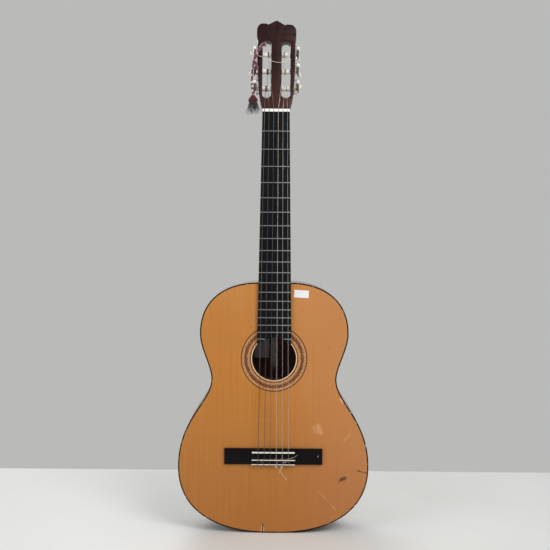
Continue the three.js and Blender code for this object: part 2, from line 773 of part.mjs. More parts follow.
// String post: a barrel across the slot, a pin in the middle rib, a journal through the plate, and the gear.
function roller(z) {
  const t = tuner;
  const along = (radius, x0, x1, sides) => cylinderAlongX(radius, x0, x1, t.depth, z, sides);
  const gearInner = wormX - gear.width / 2;
  const pin = along(t.pinRadius, head.slotInner - t.pinLength, head.slotInner + 2, 8);
  const barrel = along(t.barrelRadius, head.slotInner + glue, plateInner - glue, 12);
  const journal = along(t.journalRadius, plateInner - 2, wormX, 10);
  const collar = along(4.4, plateOuter + glue, gearInner + 0.5, 10);
  const wheel = gearWheel().translate(wormX, t.depth, z);
  return join(barrel, pin, journal, collar, wheel);
}

// Worm shaft, right-handed on the treble side: thread between the ears, a round cap in front.
function wormShaft(z) {
  const segments = 10;
  const length = worm.turns * worm.pitch;
  const rings = Array.from({ length: Math.round(worm.turns * segments) + 1 }, (_, i) => {
    const angle = (i / segments) * 2 * Math.PI + Math.PI;
    const middle = -length / 2 + (i / segments) * worm.pitch;
    return [
      [worm.root - 0.4, -0.72],
      [worm.outer, -0.27],
      [worm.outer, 0.27],
      [worm.root - 0.4, 0.72],
    ].map(([radius, along]) => {
      return new THREE.Vector3(radius * Math.sin(angle), middle + along, radius * Math.cos(angle));
    });
  });
  const thread = loft(rings);
  const profile = [
    [0, -13],
    [2, -12.5],
    [3.3, -11],
    [3.4, -9],
    [2.4, -7.4],
    [tuner.shaftRadius, -7.2],
    [tuner.shaftRadius, -4.4],
    [worm.root, -4.4],
    [worm.root, 4.4],
    [tuner.shaftRadius, 4.4],
    [tuner.shaftRadius, 22],
    [0, 22],
  ].map(([radius, y]) => new THREE.Vector2(radius, y));
  const shaft = new THREE.LatheGeometry(profile, segments);
  const keep = new THREE.CylinderGeometry(worm.outer + 1, worm.outer + 1, 8.8, segments);
  return join(shaft, common(thread, keep)).translate(wormX, tuner.depth, z + tuner.wormOffset);
}

// Button: a paddle with round ends and a short stem, bored for the shaft.
function button(z, angle) {
  const k = knob;
  const shape = new THREE.Shape();
  const halfWidth = k.width / 2;
  const halfHeight = k.height / 2;
  shape.absellipse(0, 0, halfWidth, halfHeight, 0, 2 * Math.PI, false, 0);
  const paddle = new THREE.ExtrudeGeometry(shape, {
    depth: k.length - 5,
    bevelEnabled: true,
    bevelThickness: 1,
    bevelSize: 1,
    bevelOffset: -1,
    bevelSegments: 1,
    curveSegments: 8,
  });
  paddle.rotateX(-Math.PI / 2).translate(0, k.start + 4, 0);
  const stem = new THREE.CylinderGeometry(3.4, 3.0, 5, 12).translate(0, k.start + 2.5, 0);
  const bore = new THREE.CylinderGeometry(tuner.shaftRadius + glue, tuner.shaftRadius + glue, 12, 12);
  bore.translate(0, k.start + 2, 0);
  const solid = cut(join(paddle, stem), bore);
  return solid.rotateY(THREE.MathUtils.degToRad(angle)).translate(wormX, tuner.depth, z + tuner.wormOffset);
}

function buildTuners() {
  const forSide = (side, geometry) => (side > 0 ? geometry : mirrored(geometry));
  const sheet = tunerPlate();
  add("tuner_plate_treble", sheet, nickel, headGroup);
  add("tuner_plate_bass", mirrored(sheet), nickel, headGroup);
  for (const { number, side, machine, knobAngle } of strings) {
    const z = tuner.positions[machine];
    add(`roller_${number}`, forSide(side, roller(z)), whitePlastic, headGroup);
    add(`worm_${number}`, forSide(side, wormShaft(z)), nickel, headGroup);
    add(`button_${number}`, forSide(side, button(z, knobAngle)), whitePlastic, headGroup);
  }
}

// ---------------------------------------------------------------- strings

// From the tie block, over the saddle and the nut, to the front of its roller.
function stringPath({ number, radius, side, machine }) {
  const place = (3.5 - number) * 1;
  const nutX = place * stringSpacing.nut;
  const bridgeX = place * stringSpacing.bridge;
  const lift = radius + glue;
  const overSaddle = boardY - saddleDims.top - lift;
  const overNut = boardY - glue - nutSize.height - lift;
  const halfSaddle = saddleDims.thickness / 2;
  const rollerX = side * THREE.MathUtils.lerp(head.slotInner, head.slotOuter, 0.5 - (machine - 1) * 0.12);
  const postFront = tuner.depth - tuner.barrelRadius - lift - 0.2;
  const post = new THREE.Vector3(rollerX, postFront, tuner.positions[machine]);
  return [
    new THREE.Vector3(bridgeX, boardY - glue - tieBlock.groove - lift - 0.6, tieBlock.front + 1.5),
    new THREE.Vector3(bridgeX, overSaddle, saddleZ - halfSaddle),
    new THREE.Vector3(bridgeX, overSaddle, saddleZ + halfSaddle),
    new THREE.Vector3(nutX, overNut, nutZ),
    new THREE.Vector3(nutX, overNut, headBaseZ),
    post.applyMatrix4(headGroup.matrix),
  ];
}

function buildStrings() {
  headGroup.updateMatrix();
  for (const string of strings) {
    const isNylon = string.number <= 3;
    add(`string_${string.number}`, tube(stringPath(string), string.radius), isNylon ? nylon : woundSilver);
  }
}

// ---------------------------------------------------------------- ribbon

// A woven ribbon looped through the bass slot: across the head's edge, in front of the upper bass tuners and
// outside the lowest one, ending in a tassel beside the nut. Points are in the head's frame.
const ribbonRoute = [
  [-20, 6, 134],
  [-21, -1, 136.5],
  [-23.5, -5.6, 135.5],
  [-28, -6.4, 130],
  [-33, -6.4, 122],
  [-38, -8.2, 113],
  [-41.5, -10, 103],
  [-44.2, -9.6, 93],
  [-47, -6.5, 84],
  [-48, -2.5, 74],
  [-48.2, 0, 64],
  [-48.2, 1, 54],
  [-48, 0, 44],
  [-46.2, -2.5, 35],
  [-44.5, -4, 28],
];
const ribbonRadius = 2;
const tasselEnd = -14;

function buildRibbon() {
  const points = ribbonRoute.map((p) => new THREE.Vector3(...p));
  const curve = new THREE.CatmullRomCurve3(points);
  const circle = new THREE.Shape().absarc(0, 0, ribbonRadius, 0, 2 * Math.PI, false);
  const band = new THREE.ExtrudeGeometry(circle, { steps: 22, extrudePath: curve, curveSegments: 4 });
  const end = points.at(-1);
  const profile = [
    [0, tasselEnd],
    [9, tasselEnd],
    [11.5, tasselEnd + 10],
    [9.5, end.z - 14],
    [7.5, end.z - 5],
    [3, end.z + 1],
    [0, end.z + 3],
  ].map(([radius, z]) => new THREE.Vector2(radius, z));
  const tassel = new THREE.LatheGeometry(profile, 10).rotateX(Math.PI / 2).scale(1, 0.6, 1);
  tassel.translate(end.x, end.y, 0);
  add("ribbon", join(band, tassel), pinkRibbon, headGroup);
}

buildSoundboard();
buildBack();
buildSides();
buildBindings();
buildLinings();
buildBlocks();
buildBraces();
buildNeck();
buildFingerboard();
buildBridge();
buildHead();
buildTuners();
buildStrings();
buildRibbon();

export default guitar;
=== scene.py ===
"""The looks of a full-size classical guitar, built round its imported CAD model.

Sizes and places are in millimetres in the part's frame: +Z from tail to head, -Y out of the soundboard and
-X towards the bass side. MM turns them into Blender's metres where a mesh is made.
"""

import random
from collections import namedtuple
from math import asin, atan, copysign, cos, exp, hypot, pi, radians, sin, sqrt, tan

import bmesh
import bpy
from mathutils import Matrix, Vector


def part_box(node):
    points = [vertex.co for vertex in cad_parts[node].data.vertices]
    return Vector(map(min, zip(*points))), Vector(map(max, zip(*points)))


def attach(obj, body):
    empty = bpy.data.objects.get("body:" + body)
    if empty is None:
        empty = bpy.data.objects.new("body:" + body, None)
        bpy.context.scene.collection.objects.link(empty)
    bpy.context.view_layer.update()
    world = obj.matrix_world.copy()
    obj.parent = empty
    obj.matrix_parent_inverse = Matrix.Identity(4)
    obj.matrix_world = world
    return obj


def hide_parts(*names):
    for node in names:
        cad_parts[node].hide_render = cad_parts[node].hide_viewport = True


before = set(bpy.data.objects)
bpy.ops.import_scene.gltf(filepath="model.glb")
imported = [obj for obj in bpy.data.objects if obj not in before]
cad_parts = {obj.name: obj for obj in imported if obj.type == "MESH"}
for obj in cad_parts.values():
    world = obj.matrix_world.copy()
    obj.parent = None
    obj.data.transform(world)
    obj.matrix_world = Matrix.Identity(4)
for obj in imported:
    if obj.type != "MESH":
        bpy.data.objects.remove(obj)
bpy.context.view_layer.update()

MM = 0.001
ROOT = "guitar"
IDENTITY = Matrix.Identity(4)


def node_box(node):
    """Lowest and highest corner of a CAD node, in millimetres."""
    low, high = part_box(node)
    return low / MM, high / MM


# ---------------------------------------------------------------- sizes read from the frame

BOARD_LOW, BOARD_HIGH = node_box("soundboard")
SIDE_HIGH = node_box("side_treble")[1]
ROSETTE_HIGH = node_box("rosette")[1]
NUT_LOW, NUT_HIGH = node_box("nut")
SADDLE_LOW, SADDLE_HIGH = node_box("saddle")
INLAY_LOW, INLAY_HIGH = node_box("tie_block_inlay")
CAP_LOW, CAP_HIGH = node_box("heel_cap")
BOARD_REAR = node_box("fingerboard")[1].y
TIE_BACK = node_box("bridge")[0].z

BOARD_Y = BOARD_LOW.y
BODY_LENGTH = SIDE_HIGH.z
HALF_LOWER = SIDE_HIGH.x
HOLE = Vector((0, BOARD_Y, ROSETTE_HIGH.z - ROSETTE_HIGH.x))
NUT_Z = node_box("fingerboard")[1].z
HEAD_Z = NUT_HIGH.z
SADDLE_Z = (SADDLE_LOW.z + SADDLE_HIGH.z) / 2

# ---------------------------------------------------------------- sizes shared with the CAD source

SCALE_LENGTH = 650
HOLE_RADIUS = 42.5
BINDING = 2.4
BINDING_DEPTH = 5
DEPTH_TAIL = 96
DEPTH_HEEL = 90
CROWN = 4
BACK_THICKNESS = 2.8
SIDE_THICKNESS = 2.2
GLUE = 0.3
HALF_NUT = 26
HALF_TWELFTH = 31
FRETS = 19
BOARD_THICKNESS = 6.5
BOARD_END = 368
MOUTH_RADIUS = 41.3
NECK_DEPTH_NUT = 15.5
NECK_DEPTH_HEEL = 18
HEEL_START = 566
HEEL_FOOT = 508
HEEL_HALF = 12
HEAD_TILT = radians(14)
HEAD_THICKNESS = 17
HEAD_SIDE = 36.2
CREST_LEAN = 0.04
VENEER = 2
SLOT_INNER = 10
SLOT_OUTER = 27
SLOT_START = 20
SLOT_END = 142
ROLLER_DEPTH = 8
ROLLER_RADIUS = 5
TIE_FRONT = 144.3
WORM_OFFSET = 10
WORM_X = HEAD_SIDE + 5.8
WORM_PITCH = 2.7
GEAR_TEETH = 16
SPACING_NUT = 8.7
SPACING_BRIDGE = 11.6
TREBLE_STRINGS = (1, 2, 3)

# z is the roller's place up the head, angle the button's turn, radius the string's.
Tuner = namedtuple("Tuner", "string side z angle radius")
TUNERS = [
    Tuner(1, 1, 45, -50, 0.36),
    Tuner(2, 1, 80, 62, 0.41),
    Tuner(3, 1, 115, 80, 0.51),
    Tuner(4, -1, 115, -34, 0.38),
    Tuner(5, -1, 80, 18, 0.45),
    Tuner(6, -1, 45, -66, 0.56),
]
TUNERS_UP = [45, 80, 115]

HEAD = Matrix.Translation((0, BOARD_Y, HEAD_Z)) @ Matrix.Rotation(-HEAD_TILT, 4, "X")

# ---------------------------------------------------------------- camera

CAMERA_PLACE = (0.5, -1747.3, 555.3)
CAMERA_PITCH = radians(1.871)
CAMERA_ROLL = radians(0.465)
CAMERA_LENS = 58.19
CAMERA_SENSOR = 36


def add_to_scene(name, data):
    made = bpy.data.objects.new(name, data)
    bpy.context.scene.collection.objects.link(made)
    return made


def make_camera():
    data = bpy.data.cameras.new("camera")
    data.lens = CAMERA_LENS
    data.sensor_width = CAMERA_SENSOR
    camera = add_to_scene("camera", data)
    turn = Matrix.Rotation(pi / 2 - CAMERA_PITCH, 4, "X") @ Matrix.Rotation(CAMERA_ROLL, 4, "Z")
    camera.matrix_world = Matrix.Translation(Vector(CAMERA_PLACE) * MM) @ turn
    bpy.context.scene.camera = camera


make_camera()

# ---------------------------------------------------------------- procedural materials


class Shader:
    """A node material. Its methods add a node and return the output that the next one needs."""

    def __init__(self, name, **uniform):
        self.material = bpy.data.materials.new(name)
        self.material.use_nodes = True
        self.tree = self.material.node_tree
        self.surface = self.tree.nodes["Principled BSDF"]
        for words, value in uniform.items():
            self.set(words, value)

    def node(self, kind, **settings):
        made = self.tree.nodes.new("ShaderNode" + kind)
        for name, value in settings.items():
            setattr(made, name, value)
        return made

    def feed(self, socket, value):
        """Links an output to a socket, or gives the socket a value of its own."""
        if isinstance(value, bpy.types.NodeSocket):
            self.tree.links.new(value, socket)
        else:
            socket.default_value = value

    def set(self, words, value):
        """Sets a socket of the surface shader, named in words joined by underscores."""
        names = {s.name.lower().replace(" ", "_"): s for s in self.surface.inputs}
        self.feed(names[words], value)

    def finish(self, colour, roughness, normal=None):
        self.set("base_color", colour)
        self.set("roughness", roughness)
        if normal is not None:
            self.set("normal", normal)
        return self.material

    def place(self, stretch=(1, 1, 1)):
        """The point on the piece in millimetres, squeezed or stretched along the axes."""
        coordinates = self.node("TexCoord").outputs["Object"]
        return self.vector("MULTIPLY", coordinates, [1 / MM * s for s in stretch])

    def vector(self, operation, a, b=(0, 0, 0), output="Vector"):
        node = self.node("VectorMath", operation=operation)
        self.feed(node.inputs[0], a)
        if operation == "SCALE":
            self.feed(node.inputs["Scale"], b)
        elif operation != "LENGTH":
            self.feed(node.inputs[1], b)
        return node.outputs[output]

    def math(self, operation, a, b=0.0, clamp=False):
        node = self.node("Math", operation=operation, use_clamp=clamp)
        self.feed(node.inputs[0], a)
        self.feed(node.inputs[1], b)
        return node.outputs[0]

    def times(self, a, b):
        return self.math("MULTIPLY", a, b)

    def split(self, vector):
        node = self.node("SeparateXYZ")
        self.feed(node.inputs[0], vector)
        return tuple(node.outputs)

    def noise(self, vector, scale, detail=3.0, roughness=0.5, distortion=0.0):
        node = self.node("TexNoise")
        given = (vector, scale, detail, roughness, distortion)
        for name, value in zip(("Vector", "Scale", "Detail", "Roughness", "Distortion"), given):
            self.feed(node.inputs[name], value)
        return node.outputs["Fac"]

    def cells(self, vector, scale):
        node = self.node("TexVoronoi")
        self.feed(node.inputs["Vector"], vector)
        self.feed(node.inputs["Scale"], scale)
        return node.outputs["Distance"]

    def spread(self, value, low, high, to_low=0.0, to_high=1.0):
        """Maps low..high smoothly to to_low..to_high, and holds the ends."""
        node = self.node("MapRange", interpolation_type="SMOOTHSTEP")
        for socket, given in zip(node.inputs, (value, low, high, to_low, to_high)):
            self.feed(socket, given)
        return node.outputs[0]

    def rough(self, tone, low, high):
        """Roughness that rises with the middle tones of a noise."""
        return self.spread(tone, 0.3, 0.7, low, high)

    def ramp(self, value, *stops):
        node = self.node("ValToRGB")
        elements = node.color_ramp.elements
        while len(elements) < len(stops):
            elements.new(0.5)
        for element, (position, colour) in zip(elements, stops):
            element.position = position
            element.color = (*colour, 1)
        self.feed(node.inputs[0], value)
        return node.outputs[0]

    def mix(self, share, a, b):
        """Colour a changed to colour b by a share."""
        node = self.node("Mix", data_type="RGBA")
        self.feed(node.inputs[0], share)
        for socket, value in ((node.inputs[6], a), (node.inputs[7], b)):
            self.feed(socket, (*value, 1) if isinstance(value, tuple) else value)
        return node.outputs[2]

    def bump(self, height, distance, strength=1.0, under=None):
        """Bump of a height from 0 to 1 over a distance in millimetres."""
        node = self.node("Bump")
        self.feed(node.inputs["Strength"], strength)
        self.feed(node.inputs["Distance"], distance * MM)
        self.feed(node.inputs["Height"], height)
        if under is not None:
            self.feed(node.inputs["Normal"], under)
        return node.outputs[0]

    def stroke(self, point, start, end, half_width, soft):
        """1 along the straight stroke between two (x, z) places, seen from the front, and 0 away from it."""
        a = Vector((start[0], 0, start[1]))
        run = Vector((end[0], 0, end[1])) - a
        offset = self.vector("SUBTRACT", self.vector("MULTIPLY", point, (1, 0, 1)), tuple(a))
        along = self.vector("DOT_PRODUCT", offset, tuple(run / run.length_squared), "Value")
        nearest = self.vector("SCALE", tuple(run), self.math("ADD", along, 0.0, clamp=True))
        gap = self.vector("LENGTH", self.vector("SUBTRACT", offset, nearest), output="Value")
        return self.spread(gap, half_width, half_width + soft, 1.0, 0.0)

    def about_hole(self):
        """Distance from the soundhole's centre, seen from the front, and the angle about it."""
        offset = self.vector("SUBTRACT", self.place(), tuple(HOLE))
        x, _, z = self.split(offset)
        radius = self.vector("LENGTH", self.vector("MULTIPLY", offset, (1, 0, 1)), output="Value")
        return radius, self.math("ARCTAN2", x, z)


def grain(shader, dark, mid, light, stretch, scale=1.0):
    """Colour and line mask of long wood grain: broad streaks with fine lines on them."""
    streaks = shader.noise(shader.place(stretch), 0.10 * scale, 5.0, 0.6, 0.4)
    longer = [s * (0.35 if s < 0.2 else 1) for s in stretch]
    lines = shader.noise(shader.place(longer), 0.9 * scale, 4.0, 0.7, 0.2)
    both = shader.math("ADD", shader.times(streaks, 0.65), shader.times(lines, 0.35))
    return shader.ramp(both, (0.33, dark), (0.5, mid), (0.68, light)), lines


# Soundboard marks, each a stroke: start, end, half width, softness, colour, share.
DARK_MARK = (0.07, 0.025, 0.012)
PALE_MARK = (0.74, 0.44, 0.24)
RED_MARK = (0.34, 0.10, 0.04)
BOARD_MARKS = [
    ((131.0, 104.6), (138.0, 107.6), 2.0, 3.6, DARK_MARK, 0.66),
    ((132.6, 106.0), (136.4, 107.2), 0.7, 1.4, DARK_MARK, 0.85),
    ((126.0, 99.6), (131.0, 104.4), 0.3, 1.6, DARK_MARK, 0.5),
    ((137.0, 107.2), (142.0, 109.8), 0.3, 1.4, DARK_MARK, 0.35),
    ((163.4, 122.4), (167.0, 121.4), 0.9, 0.8, DARK_MARK, 0.95),
    ((167.0, 121.4), (181.5, 117.6), 0.45, 0.7, DARK_MARK, 0.95),
    ((86.1, 81.1), (93.5, 76.5), 0.2, 0.9, PALE_MARK, 0.3),
    ((93.5, 76.5), (100.7, 68.0), 0.3, 0.7, PALE_MARK, 0.4),
    ((100.7, 68.0), (114.0, 54.0), 0.1, 0.7, PALE_MARK, 0.12),
    ((114.0, 54.0), (121.2, 46.6), 0.4, 0.7, PALE_MARK, 0.34),
    ((86.0, 209.5), (92.0, 195.0), 0.6, 6.0, PALE_MARK, 0.34),
    ((77.0, 205.5), (83.5, 197.5), 0.4, 6.5, PALE_MARK, 0.20),
    ((148.0, 201.7), (146.0, 190.5), 0.3, 3.0, PALE_MARK, 0.1),
    ((146.0, 190.5), (136.3, 180.2), 0.4, 3.2, PALE_MARK, 0.16),
    ((128, 262), (133.5, 254.5), 1.0, 1.0, PALE_MARK, 0.75),
    ((51.6, 434), (54, 431), 0.4, 1.0, RED_MARK, 0.7),
    ((104.8, 361), (106.6, 359), 0.4, 1.0, RED_MARK, 0.7),
    ((-45.4, 400.2), (-44, 398.4), 0.7, 0.9, RED_MARK, 0.8),
    ((-62.4, 372), (-60.6, 371), 0.3, 0.9, RED_MARK, 0.5),
    ((-119, 160), (-113, 158), 0.4, 0.8, RED_MARK, 0.4),
    ((-21.8, 3), (-21.3, 15), 0.5, 0.6, PALE_MARK, 0.8),
    ((-19.6, 3), (-19.4, 17), 0.9, 0.6, DARK_MARK, 0.95),
    ((-17.3, 3), (-17.5, 11), 0.4, 0.6, PALE_MARK, 0.8),
]


def soundboard_material():
    s = Shader("soundboard_lacquer", coat_weight=0.22, coat_roughness=0.2, coat_ior=1.45,
               specular_ior_level=0.3)
    point = s.place()
    x, _, z = s.split(point)
    early = s.noise(s.place((1, 1, 0.012)), 0.42, 4.0, 0.65, 0.15)
    lines = s.noise(s.place((1, 1, 0.004)), 1.6, 2.0)
    tones = (0.28, (0.415, 0.150, 0.016)), (0.52, (0.48, 0.183, 0.025)), (0.76, (0.54, 0.218, 0.037))
    wood = s.ramp(early, *tones)
    wood = s.mix(s.times(s.spread(lines, 0.57, 0.68), 0.07), wood, (0.34, 0.11, 0.018))
    silk = s.noise(s.place((0.05, 1, 0.9)), 0.25, 3.0, 0.6, 0.6)
    wood = s.mix(s.spread(silk, 0.5, 0.75, 0.0, 0.12), wood, (0.66, 0.30, 0.08))

    broad = s.noise(s.place((1, 1, 0.6)), 0.008, 2.0, 0.5, 0.3)
    wood = s.mix(s.spread(broad, 0.35, 0.7, 0.0, 0.3), wood, (0.47, 0.165, 0.026))
    # Painted light and shade: the board is darker towards the tail and paler towards the upper right and the
    # treble side, where the light falls.
    wood = s.mix(s.spread(z, 60, 340, 0.5, 0.0), wood, (0.345, 0.118, 0.024))
    painted_light_upper_right = s.math("ADD", x, s.times(z, 0.9))
    wood = s.mix(s.spread(painted_light_upper_right, 180, 480, 0.0, 0.5), wood, (0.58, 0.255, 0.080))
    wood = s.mix(s.spread(x, -20, 150, 0.0, 0.4), wood, (0.46, 0.185, 0.075))

    edge = s.spread(s.about_hole()[0], HOLE_RADIUS + 1.5, HOLE_RADIUS + 1.7, 1.0, 0.0)
    wood = s.mix(edge, wood, (0.80, 0.56, 0.34))

    dents = 0.0
    for start, end, half_width, soft, colour, share in BOARD_MARKS:
        mask = s.times(s.stroke(point, start, end, half_width, soft), share)
        wood = s.mix(mask, wood, colour)
        if colour is DARK_MARK:
            dents = s.math("MAXIMUM", dents, mask)

    dust = s.times(s.noise(point, 0.9, 4.0, 0.7), 0.08)
    haze = s.noise(s.place((1, 1, 0.5)), 0.012, 3.0, 0.6)
    s.set("coat_normal", s.bump(s.noise(s.place(), 0.03, 2.0), 0.25, 0.4))
    dented = s.bump(s.math("SUBTRACT", 1.0, dents), 0.35, 0.8, s.bump(lines, 0.02, 0.3))
    return s.finish(wood, s.math("ADD", s.spread(haze, 0.35, 0.7, 0.26, 0.42), dust), dented)


def lacquered_wood(name, dark, mid, light, stretch, scale=1.0, roughness=(0.22, 0.36), coat=0.5, specular=0.5,
                   paler_end=None):
    """Dark lacquered wood. paler_end is (low z, high z, colour) of a stretch that turns paler towards its low
    end.
    """
    s = Shader(name, coat_weight=coat, coat_roughness=0.12, specular_ior_level=specular)
    colour, lines = grain(s, dark, mid, light, stretch, scale)
    wear = s.noise(s.place(), 0.05, 6.0, 0.75)
    colour = s.mix(s.spread(wear, 0.66, 0.74, 0.0, 0.35), colour, light)
    if paler_end:
        low, high, pale = paler_end
        colour = s.mix(s.spread(s.split(s.place())[2], low, high, 0.6, 0.0), colour, pale)
    haze = s.noise(s.place(), 0.02, 4.0)
    return s.finish(colour, s.rough(haze, *roughness), s.bump(lines, 0.04, 0.6))


def raw_wood(name, mid, light):
    s = Shader(name)
    colour, lines = grain(s, tuple(c * 0.6 for c in mid), mid, light, (1, 1, 1), 0.6)
    return s.finish(colour, s.rough(lines, 0.7, 0.88), s.bump(lines, 0.12, 0.7))


def binding_material():
    """Dark plastic, chipped here and there to pale wood along its front edge."""
    s = Shader("binding_plastic", specular_ior_level=0.06)
    point = s.place()
    streak = s.noise(point, 0.06, 4.0, 0.6)
    tones = (0.35, (0.007, 0.003, 0.003)), (0.6, (0.020, 0.007, 0.006)), (0.8, (0.045, 0.016, 0.012))
    chips = s.spread(s.noise(point, 0.11, 5.0, 0.75), 0.60, 0.64)
    front_edge = s.spread(s.split(point)[1], BOARD_Y + 0.4, BOARD_Y + 1.4, 1.0, 0.0)
    colour = s.mix(s.times(chips, front_edge), s.ramp(streak, *tones), (0.46, 0.31, 0.20))
    worn = s.bump(s.math("SUBTRACT", 1.0, chips), 0.3, 0.7)
    return s.finish(colour, s.rough(streak, 0.4, 0.6), worn)


def ebonised_material():
    s = Shader("ebonised_wood", specular_ior_level=0.1)
    lines = s.noise(s.place((1, 1, 0.03)), 0.8, 5.0, 0.7, 0.1)
    # The tones and the worn colour have a slight blue cast: a painted reflection of the sky on the black
    # wood.
    tones = (0.3, (0.002, 0.0024, 0.0036)), (0.55, (0.004, 0.0056, 0.0078)), (0.75, (0.009, 0.0115, 0.0145))
    worn = s.spread(s.noise(s.place((1, 1, 0.35)), 0.05, 4.0, 0.65), 0.5, 0.75, 0.0, 0.5)
    colour = s.mix(worn, s.ramp(lines, *tones), (0.008, 0.0102, 0.0124))
    haze = s.noise(s.place((1, 1, 0.3)), 0.06, 4.0)
    return s.finish(colour, s.rough(haze, 0.34, 0.52), s.bump(lines, 0.06, 0.6))


def bridge_material():
    """Black wood with its grain across, and one small nick."""
    s = Shader("bridge_black", specular_ior_level=0.1, coat_weight=0.03, coat_roughness=0.2)
    lines = s.noise(s.place((0.03, 1, 1)), 0.8, 5.0, 0.7, 0.1)
    tones = (0.3, (0.002, 0.0012, 0.002)), (0.55, (0.0035, 0.0025, 0.0035)), (0.8, (0.009, 0.006, 0.008))
    nick = s.stroke(s.place(), (85.8, 149.5), (86.8, 152), 0.3, 0.4)
    colour = s.mix(nick, s.ramp(lines, *tones), (0.4, 0.38, 0.38))
    return s.finish(colour, s.rough(lines, 0.26, 0.42), s.bump(lines, 0.05, 0.6))


def plastic_material(name, dark, light, roughness, coat=0.4, milkiness=0.1, scale=0.08):
    s = Shader(name, coat_weight=coat, coat_roughness=0.1, subsurface_weight=milkiness,
               subsurface_scale=0.002)
    swirl = s.noise(s.place(), scale, 5.0, 0.6, 2.0)
    grime = s.noise(s.place(), 0.5, 5.0, 0.8)
    dirty = tuple(c * 0.45 for c in dark)
    colour = s.mix(s.spread(grime, 0.62, 0.80, 0.0, 0.55), s.ramp(swirl, (0.3, dark), (0.7, light)), dirty)
    return s.finish(colour, s.spread(grime, 0.3, 0.8, roughness, roughness + 0.25), s.bump(grime, 0.02, 0.4))


def metal_material(name, bright, tarnish, roughness, amount):
    s = Shader(name, metallic=1.0)
    patches = s.noise(s.place(), 0.25, 6.0, 0.7, 0.4)
    fine = s.noise(s.place(), 2.5, 3.0, 0.6)
    colour = s.mix(s.spread(patches, 0.45, 0.72, 0.0, amount), bright, tarnish)
    dull = s.spread(patches, 0.35, 0.7, roughness, roughness + 0.22)
    rough = s.math("ADD", dull, s.times(fine, 0.08))
    return s.finish(colour, rough, s.bump(fine, 0.015, 0.4))


def nylon_material(name, dark, light, clearness):
    s = Shader(name, transmission_weight=clearness, subsurface_weight=0.1, subsurface_scale=0.001,
               specular_ior_level=0.25)
    tone = s.noise(s.place((1, 1, 0.1)), 0.3)
    return s.finish(s.ramp(tone, (0.3, dark), (0.7, light)), s.rough(tone, 0.10, 0.22))


def winding_material():
    """Fine wire wound round a string, tarnished to a dull bronze."""
    s = Shader("wound_wire", metallic=1.0)
    turns = s.node("TexWave", bands_direction="Z")
    s.feed(turns.inputs["Scale"], 2.2)
    s.feed(turns.inputs["Vector"], s.place((0.3, 0.3, 1)))
    dull = s.noise(s.place((1, 1, 0.05)), 0.15, 4.0, 0.7)
    tones = (0.35, (0.10, 0.076, 0.062)), (0.6, (0.19, 0.150, 0.127)), (0.8, (0.35, 0.290, 0.25))
    return s.finish(s.ramp(dull, *tones), s.rough(dull, 0.30, 0.50), s.bump(turns.outputs["Fac"], 0.06, 0.7))


MOSAIC_MIDDLE = 54.4


def mosaic_material():
    """Rosette tiles: rows of small blocks round the soundhole, dark in the middle and pale at the edges."""
    s = Shader("rosette_mosaic", coat_weight=0.08, coat_roughness=0.2, specular_ior_level=0.25)
    radius, angle = s.about_hole()
    tile = s.node("CombineXYZ")
    s.feed(tile.inputs[0], s.math("FLOOR", s.times(angle, 34.0)))
    s.feed(tile.inputs[1], s.math("FLOOR", s.times(radius, 0.75)))
    pick = s.noise(tile.outputs[0], 0.73, 0.0)
    warm = s.noise(s.place(), 0.35, 4.0, 0.7)
    dark = s.ramp(warm, (0.35, (0.085, 0.022, 0.007)), (0.7, (0.25, 0.088, 0.030)))
    light = s.ramp(warm, (0.35, (0.36, 0.150, 0.052)), (0.7, (0.62, 0.33, 0.155)))
    core = s.spread(s.math("ABSOLUTE", s.math("SUBTRACT", radius, MOSAIC_MIDDLE)), 1.6, 4.6, 0.28, 0.70)
    share = s.spread(s.math("ADD", s.math("SUBTRACT", core, 0.5), pick), 0.42, 0.60)
    return s.finish(s.mix(share, dark, light), s.rough(warm, 0.3, 0.45), s.bump(warm, 0.03, 0.5))


def inlay_material(name, dark, light):
    """A veneer line of the rosette, broken into short lengths of slightly different tone."""
    s = Shader(name, coat_weight=0.08, coat_roughness=0.2, specular_ior_level=0.2)
    length = s.math("FLOOR", s.times(s.about_hole()[1], 19.0))
    tone = s.math("FRACT", s.times(s.math("SINE", s.times(length, 12.9)), 43.7))
    warm = s.noise(s.place(), 0.4, 4.0, 0.7)
    both = s.math("ADD", s.times(tone, 0.2), s.times(warm, 0.8))
    colour = s.ramp(both, (0.25, dark), (0.75, light))
    return s.finish(colour, s.rough(warm, 0.3, 0.45), s.bump(warm, 0.02, 0.5))


def marquetry_material():
    """The back's centre strip: slanting dark and pale slips between two thin lines, plain on the inside."""
    s = Shader("back_marquetry", coat_weight=0.5, coat_roughness=0.12)
    x, _, z = s.split(s.place())
    from_middle = s.math("ABSOLUTE", x)
    slips = s.math("PINGPONG", s.math("ADD", z, s.times(from_middle, 1.2)), 3.0)
    colour = s.ramp(s.math("DIVIDE", slips, 3.0), (0.45, (0.06, 0.022, 0.014)), (0.55, (0.50, 0.30, 0.14)))
    colour = s.mix(s.spread(from_middle, 2.6, 2.8), colour, (0.55, 0.38, 0.20))
    wood = s.noise(s.place((1, 1, 0.1)), 0.8, 4.0, 0.7)
    colour = s.mix(s.times(wood, 0.4), colour, (0.10, 0.04, 0.02))
    inside = s.math("LESS_THAN", s.split(s.node("NewGeometry").outputs["True Normal"])[1], -0.5)
    colour = s.mix(inside, colour, (0.045, 0.018, 0.011))
    return s.finish(colour, s.rough(wood, 0.2, 0.34))


def paper_material(name, tone):
    s = Shader(name)
    fibre = s.noise(s.place(), 1.2, 6.0, 0.8)
    stain = s.noise(s.place(), 0.06, 3.0, 0.6)
    colour = s.ramp(fibre, (0.3, tuple(c * 0.92 for c in tone)), (0.7, tone))
    colour = s.mix(s.spread(stain, 0.5, 0.8, 0.0, 0.3), colour, tuple(c * 0.7 for c in tone))
    return s.finish(colour, s.rough(fibre, 0.55, 0.75), s.bump(fibre, 0.03, 0.5))


